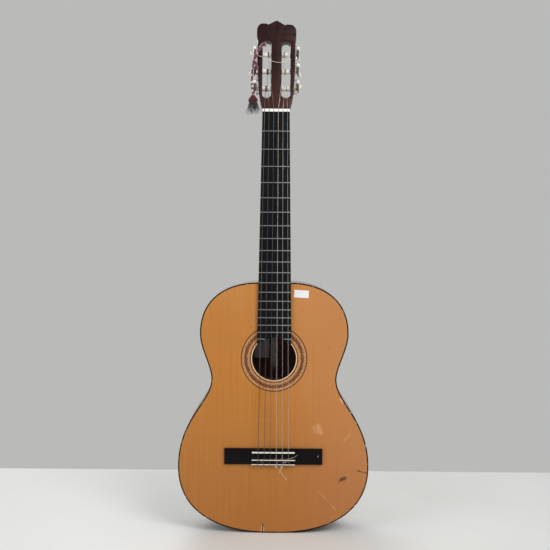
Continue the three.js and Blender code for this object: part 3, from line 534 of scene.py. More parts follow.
def ribbon_material(name, fleck_size):
    """Pink and dark red weave with pale flecks."""
    s = Shader(name, sheen_weight=0.25, sheen_roughness=0.4)
    point = s.place()
    warp = s.noise(point, 0.9, 3.0, 0.6)
    tones = (0.35, (0.040, 0.009, 0.015)), (0.52, (0.135, 0.036, 0.054)), (0.74, (0.30, 0.135, 0.17))
    flecks = s.spread(s.cells(s.place((1, 1, 0.7)), 0.19), fleck_size, fleck_size - 0.12)
    colour = s.mix(s.times(flecks, 0.9), s.ramp(warp, *tones), (0.72, 0.62, 0.62))
    return s.finish(colour, s.rough(warp, 0.75, 0.92), s.bump(s.cells(point, 1.6), 0.25, 0.8))


def tassel_material(name, dark, light):
    s = Shader(name, sheen_weight=0.2, sheen_roughness=0.5)
    strand = s.noise(s.place((1, 1, 0.15)), 1.2, 4.0, 0.7)
    colour = s.ramp(strand, (0.35, dark), (0.7, light))
    return s.finish(colour, s.rough(strand, 0.8, 0.95), s.bump(strand, 0.15, 0.7))


SPRUCE = soundboard_material()
ROSEWOOD_BACK = lacquered_wood(
    "back_wood", (0.020, 0.007, 0.005), (0.065, 0.022, 0.013), (0.130, 0.050, 0.028), (1, 1, 0.05), 1.0
)
ROSEWOOD_SIDE = lacquered_wood(
    "side_wood", (0.022, 0.008, 0.006), (0.070, 0.025, 0.014), (0.140, 0.056, 0.030), (0.05, 1, 0.05), 1.6
)
NECK_WOOD = lacquered_wood(
    "neck_wood", (0.028, 0.009, 0.007), (0.060, 0.021, 0.015), (0.105, 0.042, 0.030), (1, 1, 0.06), 1.2,
    (0.3, 0.45), 0.2, 0.3
)
VENEER_WOOD = lacquered_wood(
    "head_veneer_wood", (0.010, 0.0033, 0.0036), (0.023, 0.0072, 0.0074), (0.048, 0.0145, 0.0135),
    (1, 1, 0.06), 1.3, (0.3, 0.45), 0.05, 0.12, (NUT_Z + 10, NUT_Z + 95, (0.068, 0.027, 0.022))
)
BACK_INSIDE = raw_wood("back_inside_wood", (0.050, 0.020, 0.013), (0.085, 0.038, 0.025))
CUT_WOOD = raw_wood("cut_wood", (0.20, 0.10, 0.065), (0.30, 0.17, 0.12))
BINDING_PLASTIC = binding_material()
EBONISED_WITH_PAINTED_REFLECTION = ebonised_material()
BRIDGE_BLACK = bridge_material()
RAW_SPRUCE = raw_wood("raw_spruce", (0.46, 0.29, 0.14), (0.62, 0.43, 0.24))
RAW_CEDAR = raw_wood("raw_cedar", (0.24, 0.12, 0.06), (0.36, 0.20, 0.11))
WHITE_PLASTIC = plastic_material("nut_plastic", (0.76, 0.72, 0.64), (0.88, 0.86, 0.80), 0.28)
# Painted light: the nut's plastic is paler than the saddle's to make up for the light that the strings'
# shadows keep off the nut.
NUT_PLASTIC_PAINTED_LIGHT = plastic_material("pale_nut_plastic", (0.95, 0.91, 0.90), (0.99, 0.96, 0.95), 0.3, 0.3, 0.02)
PEARL = plastic_material("pearl_plastic", (0.72, 0.68, 0.52), (0.92, 0.90, 0.80), 0.16, 0.7, 0.1, 0.25)
CAP_PLASTIC = plastic_material("cap_plastic", (0.70, 0.68, 0.62), (0.92, 0.91, 0.87), 0.12, 0.8, 0.05, 0.3)
ROLLER_PLASTIC = plastic_material("roller_plastic", (0.74, 0.72, 0.66), (0.93, 0.92, 0.88), 0.24, 0.5,
                                  scale=0.3)
NICKEL = metal_material("tuner_nickel", (0.74, 0.73, 0.70), (0.30, 0.28, 0.24), 0.16, 0.6)
DARK_STEEL = metal_material("gear_steel", (0.20, 0.18, 0.15), (0.045, 0.04, 0.033), 0.34, 0.8)
FRET_METAL = metal_material("fret_nickel_silver", (0.33, 0.345, 0.36), (0.20, 0.20, 0.20), 0.30, 0.5)
NYLON = nylon_material("clear_nylon", (0.64, 0.53, 0.46), (0.76, 0.65, 0.58), 0.6)
WARM_NYLON = nylon_material("warm_nylon", (0.78, 0.52, 0.32), (0.92, 0.72, 0.50), 0.1)
BRIGHT_NYLON = nylon_material("bright_nylon", (0.84, 0.76, 0.68), (0.95, 0.90, 0.84), 0.05)
WINDING = winding_material()
MOSAIC = mosaic_material()
INLAY_DARK = inlay_material("rosette_dark_line", (0.045, 0.010, 0.003), (0.105, 0.028, 0.009))
INLAY_TAN = inlay_material("rosette_tan_line", (0.37, 0.158, 0.056), (0.56, 0.28, 0.12))
MARQUETRY = marquetry_material()
STICKER_PAPER = paper_material("sticker_paper", (0.86, 0.86, 0.88))
# Painted shade: the label's paper is painted dark grey for the dim inside of the body.
LABEL_PAPER_PAINTED_SHADE = paper_material("label_paper", (0.27, 0.255, 0.29))
RIBBON_WEAVE = ribbon_material("ribbon_weave", 0.42)
KNOT_WEAVE = ribbon_material("ribbon_knot_weave", 0.62)
RED_THREAD = tassel_material("red_thread", (0.055, 0.003, 0.008), (0.18, 0.012, 0.026))
# Partly painted shade: this dark thread colour is the tassel's own and also stands for shadow below it.
DARK_THREAD_AND_PAINTED_SHADE = tassel_material("dark_thread", (0.006, 0.007, 0.008), (0.035, 0.040, 0.042))
FRAYED_THREAD = tassel_material("frayed_thread", (0.16, 0.16, 0.17), (0.48, 0.48, 0.50))

# ---------------------------------------------------------------- meshes

SHARP_ANGLE = radians(32)
X_AXIS = Vector((1, 0, 0))
Y_AXIS = Vector((0, 1, 0))
SIDES = (("treble", 1), ("bass", -1))


def flip(side):
    """Mirrors the treble side's points to the bass side when side is -1."""
    return Matrix.Diagonal((side, 1, 1, 1))


def make_piece(name, part, material, slot, body=ROOT, stands_for=None, matrix=IDENTITY, indices=None):
    """A mesh object from (points, faces) in millimetres. It rides a body and may stand for a CAD node.

    material is one, or a list that indices picks from by face.
    """
    points, faces = part
    mesh = bpy.data.meshes.new(name)
    mesh.from_pydata([tuple(matrix @ Vector(p) * MM) for p in points], [], faces)
    for m in material if isinstance(material, list) else [material]:
        mesh.materials.append(m)
    if indices is not None:
        mesh.polygons.foreach_set("material_index", indices)
    edit = bmesh.new()
    edit.from_mesh(mesh)
    bmesh.ops.recalc_face_normals(edit, faces=edit.faces)
    edit.to_mesh(mesh)
    edit.free()
    mesh.shade_smooth()
    mesh.set_sharp_from_angle(angle=SHARP_ANGLE)
    piece = add_to_scene(name, mesh)
    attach(piece, body)
    if stands_for:
        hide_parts(stands_for)
    return piece


def skin(rings, is_loop=False):
    """Points and faces of a surface over rings of equal size. Open ends are closed by one face each."""
    sides, count = len(rings[0]), len(rings)
    faces = []
    for r in range(count if is_loop else count - 1):
        a, b = r * sides, (r + 1) % count * sides
        for s in range(sides):
            t = (s + 1) % sides
            faces.append((a + s, a + t, b + t, b + s))
    if not is_loop:
        faces.append(tuple(reversed(range(sides))))
        faces.append(tuple(range((count - 1) * sides, count * sides)))
    return [p for ring in rings for p in ring], faces


def slab(stations, columns, levels, point):
    """A thin sheet over stations. Each ring runs across one face and back across the other.

    point(station, share across from 0 to 1, level) gives a place, and levels are those of the two faces.
    """
    rings = []
    for station in stations:
        front, rear = [[point(station, c / columns, level) for c in range(columns + 1)] for level in levels]
        rings.append(front + rear[::-1])
    return skin(rings)


def merged(*parts):
    """Several (points, faces) as one."""
    points, faces = [], []
    for part_points, part_faces in parts:
        start = len(points)
        points += part_points
        faces += [tuple(i + start for i in face) for face in part_faces]
    return points, faces


def smooth_path(points, steps):
    """Catmull-Rom curve through points."""
    points = [Vector(p) for p in points]
    padded = [points[0] * 2 - points[1], *points, points[-1] * 2 - points[-2]]
    made = []
    for a, b, c, d in zip(padded, padded[1:], padded[2:], padded[3:]):
        for i in range(steps):
            t = i / steps
            square, cube = 2 * a - 5 * b + 4 * c - d, 3 * b - a - 3 * c + d
            made.append(0.5 * (2 * b + (c - a) * t + square * t * t + cube * t**3))
    return made + [points[-1]]


def direction(points, i):
    """Unit vector along a path at its point i."""
    return (points[min(i + 1, len(points) - 1)] - points[max(i - 1, 0)]).normalized()


def circle(centre, across, third, radius, sides):
    angles = [2 * pi * s / sides for s in range(sides)]
    return [centre + (across * cos(a) + third * sin(a)) * radius for a in angles]


def tube(points, radius, sides=8):
    """A round bar along points. radius is a number, or a function of the share along it."""
    points = [Vector(p) for p in points]
    across = direction(points, 0).orthogonal().normalized()
    rings = []
    for i, point in enumerate(points):
        along = direction(points, i)
        across = (across - along * across.dot(along)).normalized()
        r = radius(i / (len(points) - 1)) if callable(radius) else radius
        rings.append(circle(point, across, along.cross(across), r, sides))
    return skin(rings)


def lathe(profile, axis, sides, centre=(0, 0, 0)):
    """A turned solid. profile is [(place along the axis, radius)], its ends closed by a face."""
    across = axis.orthogonal().normalized()
    third = axis.cross(across)
    least = 0.01
    places = [(Vector(centre) + axis * along, max(radius, least)) for along, radius in profile]
    return skin([circle(place, across, third, radius, sides) for place, radius in places])


def arc(centre, radius, start, end, steps):
    """Points of an arc in (x, z), angles in radians from +x."""
    angles = [start + (end - start) * i / steps for i in range(steps + 1)]
    return [(centre[0] + radius * cos(a), centre[1] + radius * sin(a)) for a in angles]


def bezier(a, b, c, d, steps):
    """Points of a cubic curve in (x, z), without the last."""
    made = []
    for i in range(steps):
        t = i / steps
        u = 1 - t
        weights = (u**3, 3 * u * u * t, 3 * u * t * t, t**3)
        made.append(tuple(sum(w * p for w, p in zip(weights, axis)) for axis in zip(a, b, c, d)))
    return made


def plate(name, loops, front, thickness, material, slot, bevel, stands_for, matrix=IDENTITY):
    """A flat plate with rounded edges. loops are closed outlines in (x, z): the outside, then its holes."""
    curve = bpy.data.curves.new(name + "_outline", "CURVE")
    curve.dimensions = "2D"
    curve.fill_mode = "BOTH"
    curve.extrude = (thickness / 2 - bevel) * MM
    curve.bevel_depth = bevel * MM
    curve.offset = -bevel * MM
    curve.bevel_resolution = 2
    for loop in loops:
        spline = curve.splines.new("POLY")
        spline.points.add(len(loop) - 1)
        for point, (x, z) in zip(spline.points, loop):
            point.co = (x * MM, z * MM, 0, 1)
        spline.use_cyclic_u = True
    holder = add_to_scene(name + "_outline", curve)
    bpy.context.view_layer.update()
    mesh = bpy.data.meshes.new_from_object(holder.evaluated_get(bpy.context.evaluated_depsgraph_get()))
    bpy.data.objects.remove(holder)
    edit = bmesh.new()
    edit.from_mesh(mesh)
    bmesh.ops.remove_doubles(edit, verts=edit.verts, dist=1e-6)
    middle = front + thickness / 2
    points = [(v.co.x / MM, middle - v.co.z / MM, v.co.y / MM) for v in edit.verts]
    faces = [tuple(v.index for v in f.verts) for f in edit.faces]
    edit.free()
    bpy.data.meshes.remove(mesh)
    make_piece(name, (points, faces), material, slot, stands_for=stands_for, matrix=matrix)


def soften(node, width, material, segments=2):
    """A CAD node that keeps its shape, with its edges rounded and a new material."""
    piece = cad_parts[node]
    piece.data.materials.clear()
    piece.data.materials.append(material)
    piece.data.shade_smooth()
    weld = piece.modifiers.new("weld", "WELD")
    weld.merge_threshold = 1e-5
    bevel = piece.modifiers.new("bevel", "BEVEL")
    bevel.width = width * MM
    bevel.segments = segments
    bevel.limit_method = "ANGLE"
    bevel.angle_limit = SHARP_ANGLE
    bevel.harden_normals = False


# ---------------------------------------------------------------- body outline

TAIL_FLAT = 12
HEEL_FLAT = 30
WAIST = (120.5, 298.5)
UPPER = (143, 386.5)
LOWER = (HALF_LOWER, 128.5)


def half_outline(steps):
    """The treble half of the body's outline as (x, z, outward x, outward z), from the tail to the heel."""
    tail, heel = (TAIL_FLAT, 0), (HEEL_FLAT, BODY_LENGTH)
    points = [(TAIL_FLAT * i / 4, 0.0) for i in range(4)]
    points += bezier(tail, (93, 0), (LOWER[0], LOWER[1] - 97), LOWER, steps)
    points += bezier(LOWER, (LOWER[0], LOWER[1] + 93), (WAIST[0], WAIST[1] - 44), WAIST, steps)
    points += bezier(WAIST, (WAIST[0], WAIST[1] + 25), (UPPER[0], UPPER[1] - 30), UPPER, steps)
    points += bezier(UPPER, (UPPER[0], UPPER[1] + 69), (91, BODY_LENGTH), heel, steps)
    points += [(HEEL_FLAT * (1 - i / 4), BODY_LENGTH) for i in range(5)]
    made = []
    for i, (x, z) in enumerate(points):
        before = points[max(i - 1, 0)]
        after = points[min(i + 1, len(points) - 1)]
        dx, dz = after[0] - before[0], after[1] - before[1]
        length = hypot(dx, dz)
        made.append((x, z, dz / length, -dx / length))
    return made


HALF = half_outline(40)
WHOLE = HALF + [(-x, z, -nx, nz) for x, z, nx, nz in reversed(HALF[1:-1])]


def inset(point, distance):
    x, z, nx, nz = point
    return x - nx * distance, z - nz * distance


def back_y(x, z):
    depth = DEPTH_TAIL + (DEPTH_HEEL - DEPTH_TAIL) * z / BODY_LENGTH
    return BOARD_Y + depth + CROWN * (1 - (x / HALF_LOWER) ** 2)


def rim_ring(point, profile, height):
    """A strip's section at an outline point, from its (distance in, depth) and y as height(x, z, depth)."""
    corners = [(*inset(point, distance), depth) for distance, depth in profile]
    return [(x, height(x, z, depth), z) for x, z, depth in corners]


# ---------------------------------------------------------------- body shell

SEAM = 0.08
GRAFT_HALF = 6.3
HEEL_CUT = 9.9
SIDE_SHARES = (0, 0.33, 0.67, 1)
ROSETTE_SIDES = 240
ROSETTE_DEPTH = 0.6
# Each ring of the rosette: inner and outer radius, material, height above the soundboard.
ROSETTE_RINGS = [
    (44.0, 44.9, INLAY_TAN, 0.03),
    (44.9, 46.7, INLAY_DARK, 0.05),
    (46.7, 49.6, INLAY_TAN, 0.04),
    (49.6, 61.6, MOSAIC, 0.05),
    (61.6, 62.2, INLAY_TAN, 0.03),
    (62.2, 64.0, INLAY_DARK, 0.05),
]
BINDING_CORNER = 0.55
CHIPS = 34
CHIP_DEPTHS = (0.3, 0.9)
STRIP_HALF = 4
BACK_COLUMNS = 12


def make_soundboard():
    outer = [inset(p, BINDING + SEAM) for p in WHOLE]
    hole = arc((0, HOLE.z), HOLE_RADIUS, 0, 2 * pi, 160)[:-1]
    thickness = BOARD_HIGH.y - BOARD_Y
    plate("soundboard_top", [outer, hole], BOARD_Y, thickness, SPRUCE, "spruce_top", 0.12, "soundboard")


def make_rosette():
    """Concentric inlays, each a hair above or below its neighbour."""
    materials = [INLAY_TAN, INLAY_DARK, MOSAIC]
    parts, indices = [], []
    for inner, outer, material, proud in ROSETTE_RINGS:
        front, rear = BOARD_Y - proud, BOARD_Y + ROSETTE_DEPTH
        section = ((inner, rear), (inner, front), (outer, front), (outer, rear))
        loop = []
        for s in range(ROSETTE_SIDES):
            angle = 2 * pi * s / ROSETTE_SIDES
            loop.append([(r * cos(angle), y, HOLE.z + r * sin(angle)) for r, y in section])
        parts.append(skin(loop, True))
        indices += [materials.index(material)] * len(parts[-1][1])
    make_piece("rosette_inlay", merged(*parts), materials, "rosette_inlay", stands_for="rosette",
               indices=indices)


def make_sides():
    """Two bent ribs, cut off square at the tail graft and under the heel."""
    path = [p for p in HALF[1:-1] if p[0] > (GRAFT_HALF if p[1] < BODY_LENGTH / 2 else HEEL_CUT)]
    path = [(GRAFT_HALF, *HALF[0][1:]), *path, (HEEL_CUT, *HALF[-1][1:])]
    front = BOARD_Y + BINDING_DEPTH

    def height(x, z, share):
        return front + (back_y(x, z) - BINDING_DEPTH - front) * share

    profile = [(0, share) for share in SIDE_SHARES] + [(SIDE_THICKNESS, 1), (SIDE_THICKNESS, 0)]
    part = skin([rim_ring(p, profile, height) for p in path])
    for name, side in SIDES:
        make_piece(f"side_{name}_rib", part, ROSEWOOD_SIDE, "rosewood_body", stands_for=f"side_{name}",
                   matrix=flip(side))


def chipped(path, seed):
    """How far the binding's front corner is knocked back at each outline point: mostly not at all."""
    draw = random.Random(seed)
    depths = [0.0] * len(path)
    for _ in range(CHIPS):
        centre = draw.randrange(len(path))
        half = draw.choice((0, 1, 1, 2))
        for i in range(-half, half + 1):
            depths[(centre + i) % len(path)] = draw.uniform(*CHIP_DEPTHS)
    return depths


def make_bindings():
    path = []
    for a, b in zip(WHOLE, WHOLE[1:] + WHOLE[:1]):
        path += [a, tuple((p + q) / 2 for p, q in zip(a, b))]
    rings = []
    for point, dent in zip(path, chipped(path, 7)):
        corner = BINDING_CORNER + dent
        profile = [(BINDING, 0), (corner, 0), (corner * 0.45, corner * 0.16), (corner * 0.16, corner * 0.45),
                   (0, corner), (0, BINDING_DEPTH), (BINDING, BINDING_DEPTH)]
        rings.append(rim_ring(point, profile, lambda x, z, depth: BOARD_Y + depth))
    strip = skin(rings, True)
    make_piece("top_binding_strip", strip, BINDING_PLASTIC, "dark_binding", stands_for="top_binding")

    profile = [(0, BINDING_DEPTH), (0, 0.9), (0.12, 0.42), (0.42, 0.12), (0.9, 0), (BINDING, 0),
               (BINDING, BINDING_DEPTH)]
    strip = skin([rim_ring(p, profile, lambda x, z, depth: back_y(x, z) - depth) for p in WHOLE], True)
    make_piece("back_binding_strip", strip, BINDING_PLASTIC, "dark_binding", stands_for="back_binding")


def make_back():
    """Two bookmatched halves, arched across, either side of the centre strip."""
    start = STRIP_HALF + SEAM
    stations = [inset(p, BINDING + SEAM) for p in HALF[1:-1]]
    stations = [(x, z) for x, z in stations if x >= STRIP_HALF + 1]

    def point(station, share, level):
        x = start + (station[0] - start) * share
        return x, back_y(x, station[1]) - level, station[1]

    part = slab(stations, BACK_COLUMNS, (0, BACK_THICKNESS), point)
    between = [0] * (BACK_COLUMNS + 1) + [1] * (BACK_COLUMNS + 1)
    indices = between * (len(stations) - 1) + [0, 0]
    woods = [ROSEWOOD_BACK, BACK_INSIDE]
    for name, side in SIDES:
        make_piece(f"back_{name}_half", part, woods, "rosewood_body", stands_for="back", matrix=flip(side),
                   indices=indices)


make_soundboard()
make_rosette()
make_sides()
make_bindings()
make_back()
soften("back_centre_strip", 0.1, MARQUETRY)
soften("tail_graft", 0.2, BINDING_PLASTIC)

# ---------------------------------------------------------------- inside the body

SPRUCE_NODES = ("upper_harmonic_bar", "lower_harmonic_bar", "bridge_plate", "fan_brace_bass",
                "fan_brace_centre", "fan_brace_treble")
CEDAR_NODES = ("top_lining_treble", "top_lining_bass", "back_lining_treble", "back_lining_bass",
               "back_brace_upper", "back_brace_middle", "back_brace_lower", "neck_block", "tail_block")
LABEL_CENTRE = (-25, 350)
LABEL_HALF_WIDTH = 15
LABEL_HALF_HEIGHT = 21


def label_point(station, share, level):
    x = LABEL_CENTRE[0] + LABEL_HALF_WIDTH * (2 * share - 1)
    z = LABEL_CENTRE[1] + LABEL_HALF_HEIGHT * (2 * station - 1)
    return x, back_y(x, z) - BACK_THICKNESS - level, z


for nodes, wood in ((SPRUCE_NODES, RAW_SPRUCE), (CEDAR_NODES, RAW_CEDAR)):
    for inner_node in nodes:
        soften(inner_node, 0.5, wood)

# A blank paper label glued inside the back, following its arch. Its paper is painted dark grey as painted
# shade for the inside of the body.
make_piece("blank_label", slab([r / 4 for r in range(5)], 12, (0.05, 0.2), label_point), LABEL_PAPER_PAINTED_SHADE, "paper")

# ---------------------------------------------------------------- neck

FRET_SECTION = [(-0.95, 0.3), (0.95, 0.3), (0.95, -0.15), (0.75, -0.62), (0.4, -0.95), (0, -1.05),
                (-0.4, -0.95), (-0.75, -0.62), (-0.95, -0.15)]
FRET_ENDS = ((0, 0.1), (1.3, 0.85), (2.0, 1.0))
FRET_INSET = 0.9
NUT_SLOT = 0.75


def board_half(z):
    return HALF_NUT + (NUT_Z - z) * (HALF_TWELFTH - HALF_NUT) / (SCALE_LENGTH / 2)


def neck_depth(z):
    share = max(0.0, (z - HEEL_START) / (NUT_Z - HEEL_START))
    shaft = NECK_DEPTH_HEEL + (NECK_DEPTH_NUT - NECK_DEPTH_HEEL) * share
    if z >= HEEL_START:
        return shaft
    full = CAP_LOW.y - BOARD_Y - GLUE
    rise = min(1.0, (HEEL_START - z) / (HEEL_START - HEEL_FOOT))
    return shaft + (full - NECK_DEPTH_HEEL) * rise**3.2


def neck_ring(z):
    """Section of the neck: a round D on the shaft that stretches into the heel's narrow keel."""
    half = board_half(z) - 0.4
    depth = neck_depth(z)
    keel = min(1.0, max(0.0, (depth - 22) / 50))
    steps = 24
    right = []
    for i in range(steps + 1):
        angle = i / steps * pi / 2
        rise = sin(angle)
        round_x = half * cos(angle) ** 0.8 if i < steps else 0.6
        heel_x = HEEL_HALF + (half - HEEL_HALF) * (1 - rise) ** 1.3
        right.append((round_x + (heel_x - round_x) * keel, depth * rise))
    return right + [(-x, y) for x, y in reversed(right)]


def make_neck():
    levels = [BODY_LENGTH + GLUE + i * 1.6 for i in range(14)] + [HEEL_FOOT]
    levels += [HEEL_FOOT + (HEEL_START - HEEL_FOOT) * (i / 30) ** 1.2 for i in range(1, 31)]
    levels += [HEEL_START + (NUT_Z - 10 - HEEL_START) * i / 12 for i in range(1, 13)]
    rings = [[(x, BOARD_Y + y, z) for x, y in neck_ring(z)] for z in levels]
    slope = tan(HEAD_TILT)
    rings.append([(x, BOARD_Y + y, HEAD_Z - 0.05 - y * slope) for x, y in neck_ring(NUT_Z - 1)])
    make_piece("neck_and_heel", skin(rings), NECK_WOOD, "neck_wood", stands_for="neck")

    rounded = arc((0, CAP_HIGH.z - HEEL_HALF), HEEL_HALF, 0, pi, 24)
    loop = [(-HEEL_HALF, CAP_LOW.z), (HEEL_HALF, CAP_LOW.z), *rounded]
    thickness = CAP_HIGH.y - CAP_LOW.y
    plate("heel_cap_slip", [loop], CAP_LOW.y, thickness, EBONISED_WITH_PAINTED_REFLECTION, "ebonised_wood", 0.3, "heel_cap")


def make_fret(name, z, x0, x1, front):
    """A fret wire between two places across the board, its ends filed to a slope."""
    rings = []
    stations = [(x0 + dx, scale) for dx, scale in FRET_ENDS]
    stations += [(x1 - dx, scale) for dx, scale in reversed(FRET_ENDS)]
    for x, scale in stations:
        rings.append([(x, front + y * (scale if y < 0 else 1), z + dz) for dz, y in FRET_SECTION])
    make_piece("fret_" + name, skin(rings), FRET_METAL, "fret_metal")


def make_fingerboard():
    """The board, ending at the soundhole, and its frets. The hole cuts the last fret in two."""
    front = BOARD_REAR - BOARD_THICKNESS
    half_end = board_half(BOARD_END)
    angle = asin((BOARD_END - HOLE.z) / MOUTH_RADIUS)
    mouth = arc((0, HOLE.z), MOUTH_RADIUS, pi - angle, angle, 48)
    loop = [(-HALF_NUT, NUT_Z), (-half_end, BOARD_END), *mouth, (half_end, BOARD_END), (HALF_NUT, NUT_Z)]
    plate("fingerboard_slab", [loop], front, BOARD_THICKNESS, EBONISED_WITH_PAINTED_REFLECTION, "ebonised_wood", 0.45, "fingerboard")
    for number in range(1, FRETS + 1):
        z = NUT_Z - SCALE_LENGTH * (1 - 2 ** (-number / 12))
        half = board_half(z) - FRET_INSET
        if number < FRETS:
            make_fret(f"{number:02d}", z, -half, half, front)
    inner = sqrt(MOUTH_RADIUS**2 - (z - 1.0 - HOLE.z) ** 2) + 0.5
    make_fret(f"{FRETS}_bass", z, -half, -inner, front)
    make_fret(f"{FRETS}_treble", z, inner, half, front)


def string_x(number, spacing):
    return (3.5 - number) * spacing


def make_nut():
    """A bone-coloured nut with a rounded top and a slot filed for each string. Its plastic is painted paler
    than the saddle's, as painted light for what the strings' shadows keep off it.
    """
    depth = NUT_HIGH.z - NUT_LOW.z
    cuts = {NUT_LOW.x: 0.5, NUT_LOW.x + 0.6: 0.1, NUT_HIGH.x - 0.6: 0.1, NUT_HIGH.x: 0.5}
    for tuner in TUNERS:
        x = string_x(tuner.string, SPACING_NUT)
        r = tuner.radius + 0.12
        for dx, cut in ((0, NUT_SLOT), (r * 0.6, 0.6), (r, 0.25), (r + 0.25, 0)):
            cuts[x - dx] = cuts[x + dx] = cut
    rings = []
    for x in sorted(cuts):
        top = NUT_LOW.y + 0.25 + cuts[x]
        rings.append([(x, NUT_HIGH.y, NUT_LOW.z), (x, NUT_HIGH.y, NUT_HIGH.z), (x, top + 2.4, NUT_HIGH.z),
                      (x, top + 1.0, NUT_HIGH.z - 0.5), (x, top + 0.3, NUT_HIGH.z - 1.5),
                      (x, top, NUT_HIGH.z - depth * 0.5), (x, top + 0.05, NUT_LOW.z + 0.6),
                      (x, top + 0.4, NUT_LOW.z)])
    make_piece("nut_bar", skin(rings), NUT_PLASTIC_PAINTED_LIGHT, "white_plastic", stands_for="nut")


make_neck()
make_fingerboard()
make_nut()

# ---------------------------------------------------------------- bridge

STRIP_CORNER = 0.2


def make_saddle():
    half = (SADDLE_HIGH.z - SADDLE_LOW.z) / 2
    low, high = SADDLE_LOW.x, SADDLE_HIGH.x
    dome = [(half * (1 - sin(pi * i / 8)), half * cos(pi * i / 8)) for i in range(9)]
    rings = []
    for x, drop in ((low, 0.6), (low + 0.8, 0.05), (0, 0), (high - 0.8, 0.05), (high, 0.6)):
        top = [(x, SADDLE_LOW.y + drop + y, SADDLE_Z - z) for y, z in dome]
        rings.append([(x, SADDLE_HIGH.y, SADDLE_Z - half), *top, (x, SADDLE_HIGH.y, SADDLE_Z + half)])
    make_piece("saddle_bar", skin(rings), WHITE_PLASTIC, "white_plastic", stands_for="saddle")


def make_tie_strips():
    """Two pale strips let into the tie block's edges, a thick one in front and a thin one behind."""
    front, rear = INLAY_LOW.y, INLAY_HIGH.y
    rounded = front + STRIP_CORNER
    bars = []
    for z0, z1 in ((INLAY_LOW.z, INLAY_LOW.z + 1.3), (INLAY_HIGH.z - 1.6, INLAY_HIGH.z)):
        section = [(z0, rear), (z0, rounded), (z0 + STRIP_CORNER, front), (z1 - STRIP_CORNER, front),
                   (z1, rounded), (z1, rear)]
        bars.append(skin([[(x, y, z) for z, y in section] for x in (INLAY_LOW.x, 0, INLAY_HIGH.x)]))
    strips = merged(*bars)
    make_piece("tie_block_strips", strips, WHITE_PLASTIC, "white_plastic", stands_for="tie_block_inlay")


soften("bridge", 0.5, BRIDGE_BLACK, 3)
make_tie_strips()
make_saddle()

# ---------------------------------------------------------------- strings

TIE_HOLE_Y = BOARD_Y - 3.6
COIL_STEPS = 16
COIL_TURNS = {1: 2.5, 2: 3.25, 3: 2.5, 4: 2.5, 5: 3.25, 6: 2.5}
END_RADIUS = 0.42
KNOB = 1.15
BEAD_RADIUS = 1.1
# Trimmed ends that were left long. One lies across the head's face, in the head's frame. The other three are
# at the bridge, each point given as x, height above the soundboard and z.
HEAD_FACE = -VENEER - GLUE
END_ACROSS_HEAD = [
    (22, ROLLER_DEPTH - 4, 116), (23.5, 0, 113.5), (24.5, HEAD_FACE - 3, 108), (24, HEAD_FACE - 5, 102),
    (21, HEAD_FACE - 6, 97), (15, HEAD_FACE - 6, 94), (7, HEAD_FACE - 5.5, 92.5), (-2, HEAD_FACE - 5, 93.5),
    (-10, HEAD_FACE - 4.6, 96), (-18, HEAD_FACE - 4.5, 99.5), (-27, HEAD_FACE - 4, 104),
    (-36, HEAD_FACE - 3, 107.5), (-41, HEAD_FACE - 2.5, 108.5),
]
END_LEFT = [(5.8, 4.2, 135), (6.2, 3.4, 131.5), (8.2, 1.8, 127.5), (13.3, 1.3, 120.5), (20, 0.8, 111.5),
            (26.8, 0.6, 103.2)]
END_RIGHT = [(17.4, 4.2, 135), (17.5, 3.4, 131.5), (16.4, 2.6, 127.5), (13.6, 2.4, 121.5), (11.6, 1.2, 117.0)]
END_TREBLE = [(29.5, 9.2, 144.5), (33, 9.8, 147.5), (38, 10, 149.5), (43, 9.6, 151.5), (46.8, 8.6, 154)]


def post_x(tuner):
    """Where the string lands across its roller."""
    step = TUNERS_UP.index(tuner.z)
    return tuner.side * (SLOT_INNER + (SLOT_OUTER - SLOT_INNER) * (0.5 - (step - 1) * 0.12))


def string_tail(x, r, side, is_outer):
    """The string's knot: back through the tie block, up over its top and under itself in the gully.

    An outer string's end is then twisted over the block towards its neighbour.
    """
    top = INLAY_LOW.y - r
    hole = TIE_HOLE_Y
    route = [(0, hole, TIE_FRONT + 1), (0, hole + 0.3, TIE_FRONT - 4), (0.2, hole, TIE_BACK + 1),
             (0.5, hole - 1.5, TIE_BACK - r - 0.5), (0.9, top + 0.8, TIE_BACK - r - 0.2),
             (1.1, top, TIE_BACK + 2), (1.3, top, TIE_FRONT - 2), (1.2, top + 0.9, TIE_FRONT + r + 0.4),
             (0.3, top + 2.4, TIE_FRONT + 2.0 + r), (-1.3, top + 1.8, TIE_FRONT + 1.4 + r)]
    if is_outer:
        middle = (TIE_FRONT + TIE_BACK) / 2
        route.append((-2.0, top + 0.1, TIE_FRONT - 1))
        for i in range(13):
            turn = 2 * pi * i / 6
            y, z = top - 0.7 - 0.9 * sin(turn), middle + 1.0 + 1.1 * cos(turn)
            route.append((-3.4 - 0.33 * i, y, z))
        route.append((-9.0, top, middle - 1.5))
    else:
        route.append((-2.6, top + 2.6, TIE_FRONT + 2.2))
    return [(x + dx * side, y, z) for dx, y, z in route]


